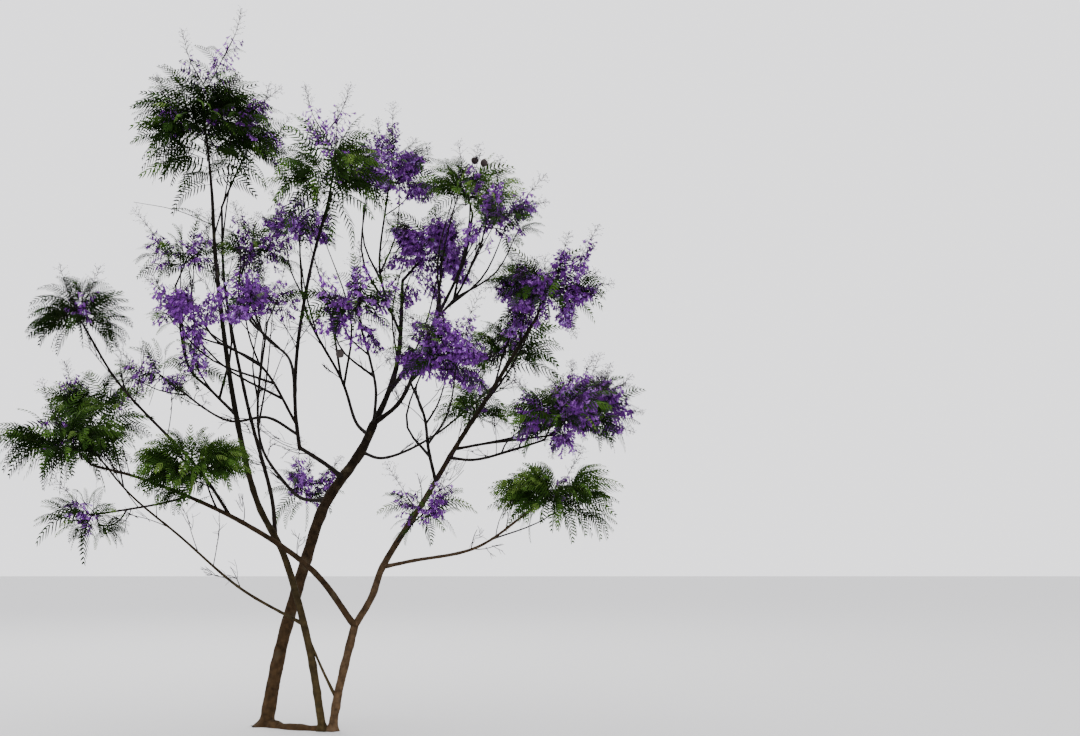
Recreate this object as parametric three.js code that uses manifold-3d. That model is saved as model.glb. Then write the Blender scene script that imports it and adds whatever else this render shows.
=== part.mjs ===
// A jacaranda tree: three stems from one root, long crooked boughs with wide gaps between
// them, and loose masses of feathery leaves and violet blossom at the boughs' tips.
// Millimetres, +Z up, X to the right in the front view, Y towards the back.
// The origin is at ground level, between the two inner stems.
import * as THREE from 'three';
import { mergeVertices } from 'three/addons/utils/BufferGeometryUtils.js';
import Module from 'manifold-3d';

const wasm = await Module();
wasm.setup();

// Clearance between pieces that touch
const GAP = 0.3;

// Root flare: the stems begin on top of it, its roots spread and show as lobes at ground level
const FLARE_TOP = 90;
const FLARE_SPREAD = 0.8;
const FLARE_LOBES = 5;
const FLARE_LOBE_DEPTH = 0.3;
const FLARE_SIDES = 15;
const FLARE_STEPS = 2;
const RIDGE_THICK = [120, 90];
const RIDGE_BEND = [-300, 110, -8];
const RIDGE_STEPS = 4;
const BLOCK_SIZE = 2000;

// Limbs: how finely a tube follows its curve
const THICK_LIMB = 40;
const THICK_SIDES = 8;
const THIN_SIDES = 5;
const STEP_LENGTH = 310;
const FEWEST_STEPS = 3;
const LIMB_SAMPLE = 20;
const HEIGHT_SAMPLES = 400;
const NEAR_SIBLING = 150;

// Growth of a mass of foliage
const GOLDEN_ANGLE = Math.PI * (3 - Math.sqrt(5));
const LOWEST_RISE = -0.55;
const SHOOT_REACH = [0.34, 0.54];
const PARTING = [0.9, 0.42];
const STEM_SUNK = 6;
const STEM_SIDES = 4;
const STEM_THICK = [18, 14];
const SHOOT_SIDES = 3;
const SHOOT_THICK = [10, 9];
const SPIRE_THICK = [9, 6];
const SPACE = 1.28;
const SPACE_MARGIN = 0.05;
const LIMB_CLEARANCE = 8;
const NEAR_UPRIGHT = 0.95;

// Leaves: long blades in a spiral round the shoot's end. The crown has nine on a shoot, and
// this model keeps one in three.
const LEAVES_PER_SHOOT = 9;
const LEAVES_PER_BLADE = 3;
const LEAF_TURN = THREE.MathUtils.degToRad(160);
const LEAF_RUN = 170;
const LEAF_RUN_SHARE = 0.92;
const LEAF_FIRST = 0.3;
const LEAF_LENGTH = [330, 470];
const LEAF_SHORTEST = 170;
const LEAF_TRIM = 20;
const LEAF_WIDTH_SHARE = 0.38;
const LEAF_THICK = 9;
const LEAF_LEAN = [0.6, 1.65];
const LEAF_DROOP = 0.3;
const LEAF_ROLL = 0.6;
const LEAF_SUNK = 2;
const TETRAHEDRON_SIZE = Math.sqrt(3);

// Blossom: an upright panicle, full below and a slender spike of buds above
const PANICLE_LENGTH = [190, 280];
const PANICLE_SIDES = 4;
const PANICLE_PROFILE = [[0, 0], [0.21, 0.34], [0, 1]];
const PANICLE_RISE = 0.9;
const PANICLE_SUNK = 30;

// Seed pods: flat round capsules on short stalks
const POD_SIZE = 66;
const POD_THICK = 20;
const POD_SIDES = 8;
const POD_STALK = 60;
const POD_DROP = 0.75;

// Every limb: the limb that it springs from and the height at which it leaves it, or its place
// at the foot; the places that it bends through, the last one being its tip; and its diameters
// at both ends.
const LIMBS = [
  { name: 'left_trunk', foot: [-560, 320], thick: [114, 74],
    via: [[-450, 370, 650], [-270, 450, 1360], [-110, 460, 1850], [210, 390, 2320],
      [310, 360, 2540]] },
  { name: 'middle_stem', foot: [-34, 0], thick: [66, 27],
    via: [[-150, -80, 700], [-350, -180, 1430], [-560, -240, 1850], [-740, -290, 2560],
      [-920, -340, 3770], [-970, -340, 4380]] },
  { name: 'right_stem', foot: [38, 0], thick: [70, 64],
    via: [[100, -30, 350], [220, -50, 850]] },
  { name: 'thin_stem', from: 'right_stem', height: 250, thick: [26, 20], meets: 'middle_stem',
    via: [[-40, -50, 500], [-140, -85, 735]] },
  { name: 'back_leader', from: 'middle_stem', height: 1570, thick: [36, 20],
    via: [[-480, -30, 1880], [-740, 210, 2660], [-1020, 470, 3760], [-1090, 590, 4490]] },
  { name: 'right_bough', from: 'right_stem', height: 850, thick: [60, 26],
    via: [[350, 0, 1080], [430, 50, 1320], [780, 200, 1910], [1030, 210, 2340], [1340, 60, 2810],
      [1710, -260, 3370]] },
  { name: 'left_bough', from: 'right_stem', height: 850, thick: [55, 17],
    via: [[-90, -290, 1300], [-630, -590, 1700], [-1330, -680, 2010], [-1850, -520, 2150]] },
  { name: 'left_bough_fork', from: 'left_bough', height: 1890, thick: [20, 15],
    via: [[-1190, -910, 1830], [-1520, -1300, 1750]] },
  { name: 'left_rod', from: 'left_bough', height: 1740, thick: [26, 17],
    via: [[-940, -650, 2090], [-1600, -680, 2790], [-1900, -620, 3240]] },
  { name: 'left_sweep', from: 'middle_stem', height: 860, thick: [27, 16],
    via: [[-760, 130, 1150], [-1320, 320, 1580], [-1790, 450, 1940], [-2080, 520, 2250]] },
  { name: 'right_low_branch', from: 'right_bough', height: 1320, thick: [32, 18],
    via: [[690, -130, 1380], [1250, -470, 1500], [1680, -550, 1800]] },
  { name: 'right_far_branch', from: 'right_bough', height: 2240, thick: [26, 17],
    via: [[1180, 40, 2215], [1510, -390, 2270], [1780, -650, 2340]] },
  { name: 'right_back_branch', from: 'right_bough', height: 2310, thick: [26, 17],
    via: [[1260, 390, 2370], [1500, 560, 2410], [1840, 650, 2460]] },
  { name: 'right_front_branch', from: 'right_bough', height: 2040, thick: [30, 18],
    via: [[820, -130, 2290], [820, -590, 2520], [760, -1230, 2740]] },
  { name: 'back_right_branch', from: 'left_trunk', height: 2300, thick: [28, 16],
    via: [[360, 810, 2270], [770, 1430, 2520], [1360, 1750, 3060]] },
  { name: 'arch', from: 'left_trunk', height: 2080, thick: [38, 33],
    via: [[-60, 130, 2180], [-220, -290, 2300]] },
  { name: 'arch_leader', from: 'arch', height: 2300, thick: [33, 22],
    via: [[-235, -450, 2630], [-190, -650, 3090], [-60, -860, 3700], [70, -910, 4180]] },
  { name: 'arch_front_branch', from: 'arch_leader', height: 2480, thick: [24, 15],
    via: [[-460, -810, 2920], [-760, -1040, 3090], [-910, -1140, 3340]] },
  { name: 'arch_back_branch', from: 'arch_leader', height: 2600, thick: [26, 17],
    via: [[-380, 130, 3060], [-740, 780, 3390], [-1000, 1330, 3970]] },
  { name: 'arch_left_branch', from: 'arch_leader', height: 2400, thick: [26, 16],
    via: [[-520, -60, 2560], [-950, 390, 2570], [-1650, 1100, 2980]] },
  { name: 'middle_stem_branch', from: 'middle_stem', height: 2560, thick: [26, 17],
    via: [[-1020, 0, 2800], [-1240, 130, 3010], [-1400, 260, 3730]] },
  { name: 'centre_left_branch', from: 'left_trunk', height: 2440, thick: [30, 18],
    via: [[130, 590, 2570], [-20, 780, 2950], [-340, 680, 3570], [-380, 550, 4050]] },
  { name: 'centre_bough', from: 'left_trunk', height: 2540, thick: [54, 28],
    via: [[410, 420, 2770], [500, 490, 3110], [520, 650, 3840]] },
  { name: 'centre_back_branch', from: 'centre_bough', height: 3340, thick: [26, 17],
    via: [[330, 910, 3770], [270, 1040, 4070], [340, 1040, 4730]] },
  { name: 'right_leader', from: 'left_trunk', height: 2540, thick: [38, 20],
    via: [[550, 200, 2720], [790, -100, 3210], [1090, 100, 3920], [1160, 200, 4340]] },
  { name: 'right_leader_fork', from: 'right_leader', height: 3380, thick: [24, 16],
    via: [[1070, -450, 3540], [1290, -980, 3880]] },
  { name: 'front_branch', from: 'left_trunk', height: 2540, thick: [28, 17],
    via: [[380, -130, 2770], [400, -720, 2950], [390, -1170, 3110]] },
  { name: 'hooked_limb', from: 'left_trunk', height: 1890, thick: [34, 19],
    via: [[-360, 810, 1910], [-580, 1180, 2060], [-860, 1530, 2400], [-940, 1690, 2790],
      [-900, 1880, 3640]] },
];

// Every mass of foliage: its middle, its half sizes, the limb that carries it (at its tip, or at
// the given height on its side), how many shoots it has, how many of these bloom, its seed, and
// the offsets from its middle to any tall flowering shoots.
const MASSES = [
  { name: 'top_left_foliage', limb: 'middle_stem',
    middle: [-1060, -340, 4960], half: [560, 540, 590],
    shoots: 8, blooms: 4, seed: 11, spires: [[250, 0, 930], [-100, -60, 670]] },
  { name: 'top_back_foliage', limb: 'back_leader',
    middle: [-850, 650, 5050], half: [460, 460, 490],
    shoots: 6, blooms: 4, seed: 12, spires: [] },
  { name: 'high_centre_foliage', limb: 'arch_leader',
    middle: [50, -980, 4400], half: [500, 480, 520],
    shoots: 7, blooms: 2, seed: 13, spires: [[-90, 0, 600], [100, 40, 620]] },
  { name: 'high_right_foliage', limb: 'centre_back_branch',
    middle: [350, 1100, 4900], half: [400, 400, 370],
    shoots: 6, blooms: 5, seed: 14, spires: [[20, 0, 430]] },
  { name: 'pod_foliage', limb: 'right_leader',
    middle: [1140, 150, 4500], half: [370, 360, 300],
    shoots: 6, blooms: 2, seed: 15, spires: [], pods: 3 },
  { name: 'right_shoulder_foliage', limb: 'right_leader_fork',
    middle: [1420, -1040, 3990], half: [280, 300, 310],
    shoots: 5, blooms: 3, seed: 16, spires: [] },
  { name: 'heart_foliage', limb: 'centre_bough',
    middle: [790, 640, 4060], half: [400, 380, 430],
    shoots: 7, blooms: 7, seed: 57, spires: [] },
  { name: 'front_foliage', limb: 'front_branch',
    middle: [340, -1270, 3320], half: [370, 350, 330],
    shoots: 6, blooms: 5, seed: 18, spires: [], pods: 1 },
  { name: 'low_front_foliage', limb: 'right_front_branch',
    middle: [1050, -1500, 2880], half: [350, 340, 330],
    shoots: 6, blooms: 5, seed: 19, spires: [] },
  { name: 'right_foliage', limb: 'right_bough',
    middle: [1780, -260, 3560], half: [400, 390, 370],
    shoots: 7, blooms: 6, seed: 20, spires: [[280, 0, 430]] },
  { name: 'right_back_foliage', limb: 'back_right_branch',
    middle: [1520, 1820, 3340], half: [420, 410, 320],
    shoots: 5, blooms: 2, seed: 21, spires: [] },
  { name: 'back_left_foliage', limb: 'arch_back_branch',
    middle: [-890, 1420, 4230], half: [360, 380, 400],
    shoots: 6, blooms: 5, seed: 22, spires: [[-180, 0, 400]] },
  { name: 'back_centre_foliage', limb: 'centre_left_branch',
    middle: [-360, 590, 4260], half: [300, 300, 280],
    shoots: 5, blooms: 4, seed: 23, spires: [] },
  { name: 'small_left_foliage', limb: 'arch_front_branch', height: 2920,
    middle: [-540, -1150, 3330], half: [210, 220, 220],
    shoots: 3, blooms: 3, seed: 24, spires: [] },
  { name: 'far_back_foliage', limb: 'hooked_limb',
    middle: [-870, 1950, 3820], half: [310, 330, 290],
    shoots: 5, blooms: 4, seed: 25, spires: [] },
  { name: 'left_high_foliage', limb: 'middle_stem_branch',
    middle: [-1340, 260, 3950], half: [350, 340, 300],
    shoots: 5, blooms: 3, seed: 26, spires: [] },
  { name: 'left_hanging_foliage', limb: 'arch_front_branch',
    middle: [-990, -1210, 3240], half: [220, 240, 270],
    shoots: 4, blooms: 3, seed: 27, spires: [] },
  { name: 'far_left_foliage', limb: 'left_rod',
    middle: [-1950, -620, 3310], half: [350, 340, 280],
    shoots: 6, blooms: 2, seed: 28, spires: [] },
  { name: 'left_back_foliage', limb: 'left_sweep',
    middle: [-2180, 620, 2620], half: [410, 400, 420],
    shoots: 6, blooms: 2, seed: 29, spires: [[-190, 0, 420]] },
  { name: 'left_low_foliage', limb: 'left_bough',
    middle: [-2080, -520, 2260], half: [460, 420, 420],
    shoots: 7, blooms: 1, seed: 30, spires: [] },
  { name: 'left_skirt_foliage', limb: 'left_bough_fork',
    middle: [-1640, -1360, 1660], half: [270, 280, 260],
    shoots: 4, blooms: 1, seed: 31, spires: [] },
  { name: 'left_leafy_foliage', limb: 'left_bough', height: 1790,
    middle: [-930, -960, 2090], half: [370, 340, 280],
    shoots: 5, blooms: 0, seed: 32, spires: [] },
  { name: 'left_tip_foliage', limb: 'arch_left_branch',
    middle: [-1810, 1190, 2970], half: [300, 320, 360],
    shoots: 5, blooms: 3, seed: 33, spires: [] },
  { name: 'left_inner_foliage', limb: 'middle_stem_branch', height: 2780,
    middle: [-1090, -180, 2960], half: [270, 250, 250],
    shoots: 4, blooms: 2, seed: 34, spires: [] },
  { name: 'far_right_foliage', limb: 'right_back_branch',
    middle: [2180, 650, 2650], half: [450, 440, 340],
    shoots: 7, blooms: 6, seed: 35, spires: [] },
  { name: 'far_right_front_foliage', limb: 'right_far_branch',
    middle: [1930, -720, 2490], half: [390, 380, 310],
    shoots: 6, blooms: 5, seed: 36, spires: [] },
  { name: 'right_inner_foliage', limb: 'right_bough', height: 2430,
    middle: [1150, 560, 2670], half: [290, 300, 260],
    shoots: 4, blooms: 1, seed: 37, spires: [] },
  { name: 'low_centre_foliage', limb: 'right_bough', height: 1520,
    middle: [830, -330, 1770], half: [330, 300, 230],
    shoots: 5, blooms: 3, seed: 38, spires: [] },
  { name: 'low_right_foliage', limb: 'right_low_branch',
    middle: [1880, -590, 1850], half: [460, 420, 310],
    shoots: 7, blooms: 1, seed: 39, spires: [] },
  { name: 'low_back_foliage', limb: 'hooked_limb', height: 1990,
    middle: [-410, 1340, 1950], half: [320, 320, 290],
    shoots: 5, blooms: 3, seed: 40, spires: [] },
];

// Colours of the bark, low and high on the tree, and of masses with more leaf or more blossom
const BARK_LOW = new THREE.Color(0x6b584b);
const BARK_HIGH = new THREE.Color(0x3d342d);
const LEAFY = new THREE.Color(0x4f7433);
const BLOOMING = new THREE.Color(0x8a73bd);
const HIGH_BARK_AT = 3000;

function vector(place) {
  return new THREE.Vector3(...place);
}

function blend(from, to, share) {
  return from + (to - from) * share;
}

// A steady stream of numbers from 0 to 1 that depends only on the seed
function seededNumbers(seed) {
  let state = seed;
  return () => {
    state = (Math.imul(state, 1664525) + 1013904223) >>> 0;
    return state / 4294967296;
  };
}

// A closed mesh as a solid that can be joined and cut
function toSolid(geometry) {
  geometry.deleteAttribute('normal');
  geometry.deleteAttribute('uv');
  const merged = mergeVertices(geometry);
  return new wasm.Manifold(new wasm.Mesh({
    numProp: 3,
    vertProperties: new Float32Array(merged.attributes.position.array),
    triVerts: new Uint32Array(merged.index.array),
  }));
}

// The largest single body of a solid as a geometry: loose scraps and sealed hollows go
function toGeometry(solid) {
  const bodies = solid.decompose();
  const largest = bodies.reduce((best, body) => (body.volume() > best.volume() ? body : best));
  const mesh = largest.getMesh();
  const geometry = new THREE.BufferGeometry();
  geometry.setAttribute('position', new THREE.BufferAttribute(mesh.vertProperties, 3));
  geometry.setIndex(new THREE.BufferAttribute(mesh.triVerts, 1));
  geometry.computeVertexNormals();
  return geometry;
}

// A tapering round tube along a curve, closed at both ends, with its skin moved out by grow
function tube(curve, thick, sides, steps, grow = 0) {
  const shape = new THREE.CylinderGeometry(1, 1, 1, sides, steps);
  const frames = curve.computeFrenetFrames(steps);
  const corner = grow / Math.cos(Math.PI / sides);
  const position = shape.attributes.position;
  for (let i = 0; i < position.count; i += 1) {
    const along = position.getY(i) + 0.5;
    const step = Math.round(along * steps);
    const radius = blend(thick[0], thick[1], along) / 2 + corner;
    const place = curve.getPointAt(step / steps)
      .addScaledVector(frames.normals[step], position.getX(i) * radius)
      .addScaledVector(frames.binormals[step], -position.getZ(i) * radius);
    if (step === 0) place.addScaledVector(frames.tangents[0], -grow);
    if (step === steps) place.addScaledVector(frames.tangents[steps], grow);
    position.setXYZ(i, place.x, place.y, place.z);
  }
  return toSolid(shape);
}

// The place on a curve at a given height
function placeAtHeight(curve, height) {
  const samples = curve.getSpacedPoints(HEIGHT_SAMPLES);
  const found = samples.findIndex((place) => place.z >= height);
  return found < 0 ? samples[samples.length - 1] : samples[found];
}

// The curve of a limb, from inside the limb that it springs from to its tip
function limbCurve(limb, grown) {
  const start = limb.foot
    ? vector([...limb.foot, 0])
    : placeAtHeight(grown.get(limb.from).curve, limb.height);
  return new THREE.CatmullRomCurve3([start, ...limb.via.map(vector)]);
}

// Points along a limb's middle with its radius there, to keep foliage clear of it
function limbSamples(curve, thick) {
  const count = Math.ceil(curve.getLength() / LIMB_SAMPLE);
  return curve.getSpacedPoints(count).map((place, i) => (
    { place, radius: blend(thick[0], thick[1], i / count) / 2 }
  ));
}

// A block that reaches far out on all sides, with its top at the given height
function blockBelow(height) {
  const block = new THREE.BoxGeometry(BLOCK_SIZE, BLOCK_SIZE, BLOCK_SIZE);
  return toSolid(block.translate(0, 0, height - BLOCK_SIZE / 2));
}

// All limbs in order, each cut clear of the one that it springs from and of any limb beside it
function growLimbs() {
  const grown = new Map();
  for (const limb of LIMBS) {
    const curve = limbCurve(limb, grown);
    const sides = limb.thick[0] > THICK_LIMB ? THICK_SIDES : THIN_SIDES;
    const steps = Math.max(FEWEST_STEPS, Math.round(curve.getLength() / STEP_LENGTH));
    let solid = tube(curve, limb.thick, sides, steps);
    if (limb.foot) solid = solid.subtract(blockBelow(FLARE_TOP + GAP));
    for (const other of grown.values()) {
      const sibling = other.limb.from === limb.from && !limb.foot
        && other.curve.getPointAt(0).distanceTo(curve.getPointAt(0)) < NEAR_SIBLING;
      const carrier = other.limb.name === limb.from || other.limb.name === limb.meets;
      if (sibling || carrier) solid = solid.subtract(other.skin);
    }
    grown.set(limb.name, {
      limb,
      curve,
      solid,
      skin: tube(curve, limb.thick, sides, steps, GAP),
      samples: limbSamples(curve, limb.thick),
    });
  }
  return grown;
}

// The flared foot of one stem: round on top, with lobes at ground level where its roots spread
function stemFlare(stem, phase) {
  const shape = new THREE.CylinderGeometry(1, 1, 1, FLARE_SIDES, FLARE_STEPS);
  const foot = stem.curve.getPointAt(0);
  const top = placeAtHeight(stem.curve, FLARE_TOP);
  const radius = stem.limb.thick[0] / 2;
  const position = shape.attributes.position;
  for (let i = 0; i < position.count; i += 1) {
    const up = position.getY(i) + 0.5;
    const turn = Math.atan2(position.getZ(i), position.getX(i));
    const lobe = 1 + FLARE_LOBE_DEPTH * Math.cos(FLARE_LOBES * turn + phase);
    const spread = 1 + FLARE_SPREAD * lobe * (1 - up) ** 2;
    position.setXYZ(
      i,
      blend(foot.x, top.x, up) + position.getX(i) * radius * spread,
      blend(foot.y, top.y, up) - position.getZ(i) * radius * spread,
      up * FLARE_TOP,
    );
  }
  return toSolid(shape);
}

// The feet of the three stems and the half-buried root that joins them, cut flat at ground level
function rootFlare(grown) {
  const stems = ['left_trunk', 'middle_stem', 'right_stem'].map((name) => grown.get(name));
  const feet = stems.map(({ curve }) => curve.getPointAt(0));
  const route = new THREE.CatmullRomCurve3([feet[0], vector(RIDGE_BEND), feet[2]]);
  const ridge = tube(route, RIDGE_THICK, THICK_SIDES, RIDGE_STEPS);
  return wasm.Manifold.union([ridge, ...stems.map(stemFlare)]).subtract(blockBelow(0));
}

// How far a place is from a mass's middle, where 1 is its surface
function farness(mass, place) {
  return Math.hypot(
    (place.x - mass.middle[0]) / mass.half[0],
    (place.y - mass.middle[1]) / mass.half[1],
    (place.z - mass.middle[2]) / mass.half[2],
  );
}

// True where a place lies in a mass's own space and in no other mass's
function inOwnSpace(mass, place) {
  const own = farness(mass, place);
  return own < SPACE && MASSES.every((other) => (
    other === mass || farness(other, place) > own + SPACE_MARGIN
  ));
}

// True where a flat blade comes too close to any limb
function touchesLimb(blade, grown) {
  const offset = new THREE.Vector3();
  for (const limb of grown.values()) {
    for (const { place, radius } of limb.samples) {
      const reach = radius + LIMB_CLEARANCE;
      offset.subVectors(place, blade.root);
      const along = offset.dot(blade.along);
      if (along > -reach && along < blade.length + reach
        && Math.abs(offset.dot(blade.side)) < blade.width / 2 + reach
        && Math.abs(offset.dot(blade.normal)) < blade.thick / 2 + reach) return true;
    }
  }
  return false;
}

// Two directions at right angles to a third and to each other
function crossDirections(axis) {
  const upright = Math.abs(axis.z) < NEAR_UPRIGHT ? vector([0, 0, 1]) : vector([1, 0, 0]);
  const side = new THREE.Vector3().crossVectors(axis, upright).normalize();
  const normal = new THREE.Vector3().crossVectors(side, axis).normalize();
  return [side, normal];
}

// The place where a mass's stem starts: inside its limb, at the given height or near the tip
function massFoot(mass, grown) {
  const { curve } = grown.get(mass.limb);
  if (mass.height) return placeAtHeight(curve, mass.height);
  return curve.getPointAt(1).addScaledVector(curve.getTangentAt(1), -STEM_SUNK);
}

// The shoots of a mass: their tips lie on a spiral round its middle. The first one is the stem
// itself, and the others part from it one below the other.
function growShoots(mass, foot, random) {
  const shoots = [];
  const spires = mass.spires.length;
  for (let i = 0; i < mass.shoots; i += 1) {
    const turn = GOLDEN_ANGLE * i + mass.seed;
    const rise = 1 - (1 - LOWEST_RISE) * (i + 0.5) / mass.shoots;
    const level = Math.sqrt(1 - rise * rise);
    const reach = blend(...SHOOT_REACH, random());
    const tip = vector([
      mass.middle[0] + mass.half[0] * reach * level * Math.cos(turn),
      mass.middle[1] + mass.half[1] * reach * level * Math.sin(turn),
      mass.middle[2] + mass.half[2] * reach * rise,
    ]);
    const parting = blend(...PARTING, i / (mass.shoots - 1));
    const root = i === 0 ? foot : foot.clone().lerp(shoots[0].tip, parting);
    const sides = i === 0 ? STEM_SIDES : SHOOT_SIDES;
    const thick = i === 0 ? STEM_THICK : SHOOT_THICK;
    const blooms = i >= spires && i < spires + mass.blooms;
    shoots.push({ root, tip, turn, sides, thick, blooms, tall: false });
  }
  mass.spires.forEach((offset, i) => {
    const tip = vector(mass.middle).add(vector(offset));
    tip.z -= PANICLE_LENGTH[1] / 2;
    const root = shoots[i].tip;
    const build = { sides: SHOOT_SIDES, thick: SPIRE_THICK };
    shoots.push({ root, tip, turn: i, ...build, blooms: true, tall: true });
  });
  return shoots;
}

// A straight blade or twig as its root, its three directions and its size
function straight(root, along, roll, length, width, thick) {
  const [side, normal] = crossDirections(along).map((way) => way.applyAxisAngle(along, roll));
  return { root, along, side, normal, length, width, thick };
}

// A leaf's length: cut back in small steps until its tip is inside the mass's space
function trimmed(mass, root, along, longest) {
  let length = longest;
  while (length > LEAF_SHORTEST
    && farness(mass, root.clone().addScaledVector(along, length)) > SPACE) {
    length -= LEAF_TRIM;
  }
  return length;
}

// The leaves of one shoot: they stand out round its end, droop a little and roll at random
function growLeaves(mass, shoot, random) {
  const axis = new THREE.Vector3().subVectors(shoot.tip, shoot.root);
  const run = Math.min(LEAF_RUN, LEAF_RUN_SHARE * axis.length());
  axis.normalize();
  const [across, over] = crossDirections(axis);
  const leaves = [];
  for (let k = 0; k < LEAVES_PER_SHOOT; k += 1) {
    const turn = LEAF_TURN * k + shoot.turn;
    const lean = blend(...LEAF_LEAN, random());
    const longest = blend(...LEAF_LENGTH, random());
    const roll = LEAF_ROLL * (random() * 2 - 1);
    const below = run * blend(LEAF_FIRST, 1, k / (LEAVES_PER_SHOOT - 1));
    const root = shoot.tip.clone().addScaledVector(axis, -below);
    const along = axis.clone().multiplyScalar(Math.cos(lean))
      .addScaledVector(across, Math.sin(lean) * Math.cos(turn))
      .addScaledVector(over, Math.sin(lean) * Math.sin(turn));
    along.z -= LEAF_DROOP;
    along.normalize();
    const length = trimmed(mass, root, along, longest);
    leaves.push(straight(root, along, roll, length, length * LEAF_WIDTH_SHARE, LEAF_THICK));
  }
  return leaves;
}

// True where a blade's edge and tip stay in its mass's own space and clear of every limb
function fits(mass, blade, grown) {
  const middle = blade.root.clone().addScaledVector(blade.along, blade.length / 2);
  const corners = [
    blade.root,
    middle.clone().addScaledVector(blade.side, blade.width / 2),
    middle.clone().addScaledVector(blade.side, -blade.width / 2),
    blade.root.clone().addScaledVector(blade.along, blade.length),
  ];
  return corners.every((corner) => inOwnSpace(mass, corner)) && !touchesLimb(blade, grown);
}

// True where a shoot keeps clear of every limb but the one that its stem stands on
function standsClear(shoot, foot, grown) {
  const along = new THREE.Vector3().subVectors(shoot.tip, shoot.root);
  const length = along.length();
  const thick = shoot.thick[0];
  const line = straight(shoot.root, along.normalize(), 0, length, thick, thick);
  return shoot.root === foot || !touchesLimb(line, grown);
}

// A straight twig of few sides that gets thinner from its root to its tip
function twig({ root, tip, thick, sides }) {
  return tube(new THREE.LineCurve3(root, tip), thick, sides, 1);
}

// A leaf blade: a flat four-faced body with its root sunk in the middle of the twig. Its two sides
// lie at half its length, a little higher than its root and its tip.
function leafBlade(leaf) {
  const half = leaf.along.clone().multiplyScalar((leaf.length + LEAF_SUNK) / 2);
  const wing = leaf.side.clone().multiplyScalar(leaf.width / 2);
  const crease = leaf.normal.clone().multiplyScalar(-leaf.thick / 2);
  const middle = leaf.root.clone().add(half).addScaledVector(leaf.along, -LEAF_SUNK).sub(crease);
  const fourCorners = new THREE.Matrix4().makeBasis(
    wing.clone().sub(half).multiplyScalar(0.5),
    wing.clone().add(half).multiplyScalar(-0.5),
    crease,
  );
  const shape = new THREE.TetrahedronGeometry(TETRAHEDRON_SIZE)
    .applyMatrix4(fourCorners.setPosition(middle));
  return toSolid(shape);
}

// The panicle at a shoot's tip, which turns upwards as it grows
function panicle(shoot, length) {
  const along = new THREE.Vector3().subVectors(shoot.tip, shoot.root).normalize();
  along.z += PANICLE_RISE;
  along.normalize();
  const profile = PANICLE_PROFILE
    .map(([out, up]) => new THREE.Vector2(out * length, up * (length + PANICLE_SUNK)));
  const turn = new THREE.Quaternion().setFromUnitVectors(vector([0, 1, 0]), along);
  const foot = shoot.tip.clone().addScaledVector(along, -PANICLE_SUNK);
  const shape = new THREE.LatheGeometry(profile, PANICLE_SIDES)
    .applyQuaternion(turn)
    .translate(foot.x, foot.y, foot.z);
  return toSolid(shape);
}

// A seed pod that hangs on its stalk beside a shoot's tip
function pod(shoot, turn) {
  const away = vector([Math.cos(turn), Math.sin(turn), -POD_DROP]).normalize();
  const middle = shoot.tip.clone().addScaledVector(away, POD_STALK + POD_SIZE / 2);
  const disc = new THREE.CylinderGeometry(POD_SIZE / 2, POD_SIZE / 2, POD_THICK, POD_SIDES)
    .rotateZ(turn)
    .translate(middle.x, middle.y, middle.z);
  const stalk = twig({ root: shoot.tip, tip: middle, thick: SPIRE_THICK, sides: SHOOT_SIDES });
  return stalk.add(toSolid(disc));
}

// Of each three leaves that follow on each other, the first that fits and crosses nothing else
function keepBlades(mass, leaves, others, grown) {
  const kept = [];
  for (let first = 0; first < leaves.length; first += LEAVES_PER_BLADE) {
    for (const leaf of leaves.slice(first, first + LEAVES_PER_BLADE)) {
      if (!fits(mass, leaf, grown)) continue;
      const blade = leafBlade(leaf);
      if ([...others, ...kept].every((other) => blade.intersect(other).isEmpty())) {
        kept.push(blade);
        break;
      }
    }
  }
  return kept;
}

// One mass: its stem, shoots, panicles, pods and leaves joined to one body
function growMass(mass, grown) {
  const random = seededNumbers(mass.seed);
  const foot = massFoot(mass, grown);
  const shoots = growShoots(mass, foot, random);
  const twigs = new Map();
  const extras = [];
  shoots.forEach((shoot, i) => {
    shoot.leaves = growLeaves(mass, shoot, random);
    const length = blend(...PANICLE_LENGTH, random());
    if (!standsClear(shoot, foot, grown)) return;
    twigs.set(shoot, twig(shoot));
    if (shoot.blooms) extras.push(panicle(shoot, length));
    if (i < (mass.pods ?? 0)) extras.push(pod(shoot, GOLDEN_ANGLE * i));
  });
  const blades = [];
  for (const shoot of twigs.keys()) {
    if (shoot.tall) continue;
    const otherTwigs = [...twigs].filter(([other]) => other !== shoot).map(([, solid]) => solid);
    const others = [...otherTwigs, ...extras, ...blades];
    blades.push(...keepBlades(mass, shoot.leaves, others, grown));
  }
  const whole = wasm.Manifold.union([...twigs.values(), ...extras, ...blades]);
  return whole.subtract(grown.get(mass.limb).skin);
}

function material(color, roughness) {
  return new THREE.MeshStandardMaterial({ color, roughness, metalness: 0, flatShading: true });
}

function barkMaterial(height) {
  const share = Math.min(1, height / HIGH_BARK_AT);
  return material(BARK_LOW.clone().lerp(BARK_HIGH, share), 0.9);
}

function foliageMaterial(mass) {
  return material(LEAFY.clone().lerp(BLOOMING, mass.blooms / mass.shoots), 0.65);
}

function piece(name, solid, finish) {
  const mesh = new THREE.Mesh(toGeometry(solid), finish);
  mesh.name = name;
  return mesh;
}

const grown = growLimbs();
const wood = new THREE.Group();
wood.add(piece('root_flare', rootFlare(grown), barkMaterial(0)));
for (const { limb, curve, solid } of grown.values()) {
  wood.add(piece(limb.name, solid, barkMaterial(curve.getPointAt(0.5).z)));
}

const crown = new THREE.Group();
for (const mass of MASSES) {
  crown.add(piece(mass.name, growMass(mass, grown), foliageMaterial(mass)));
}

const tree = new THREE.Group();
tree.add(wood, crown);

export default tree;
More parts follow.
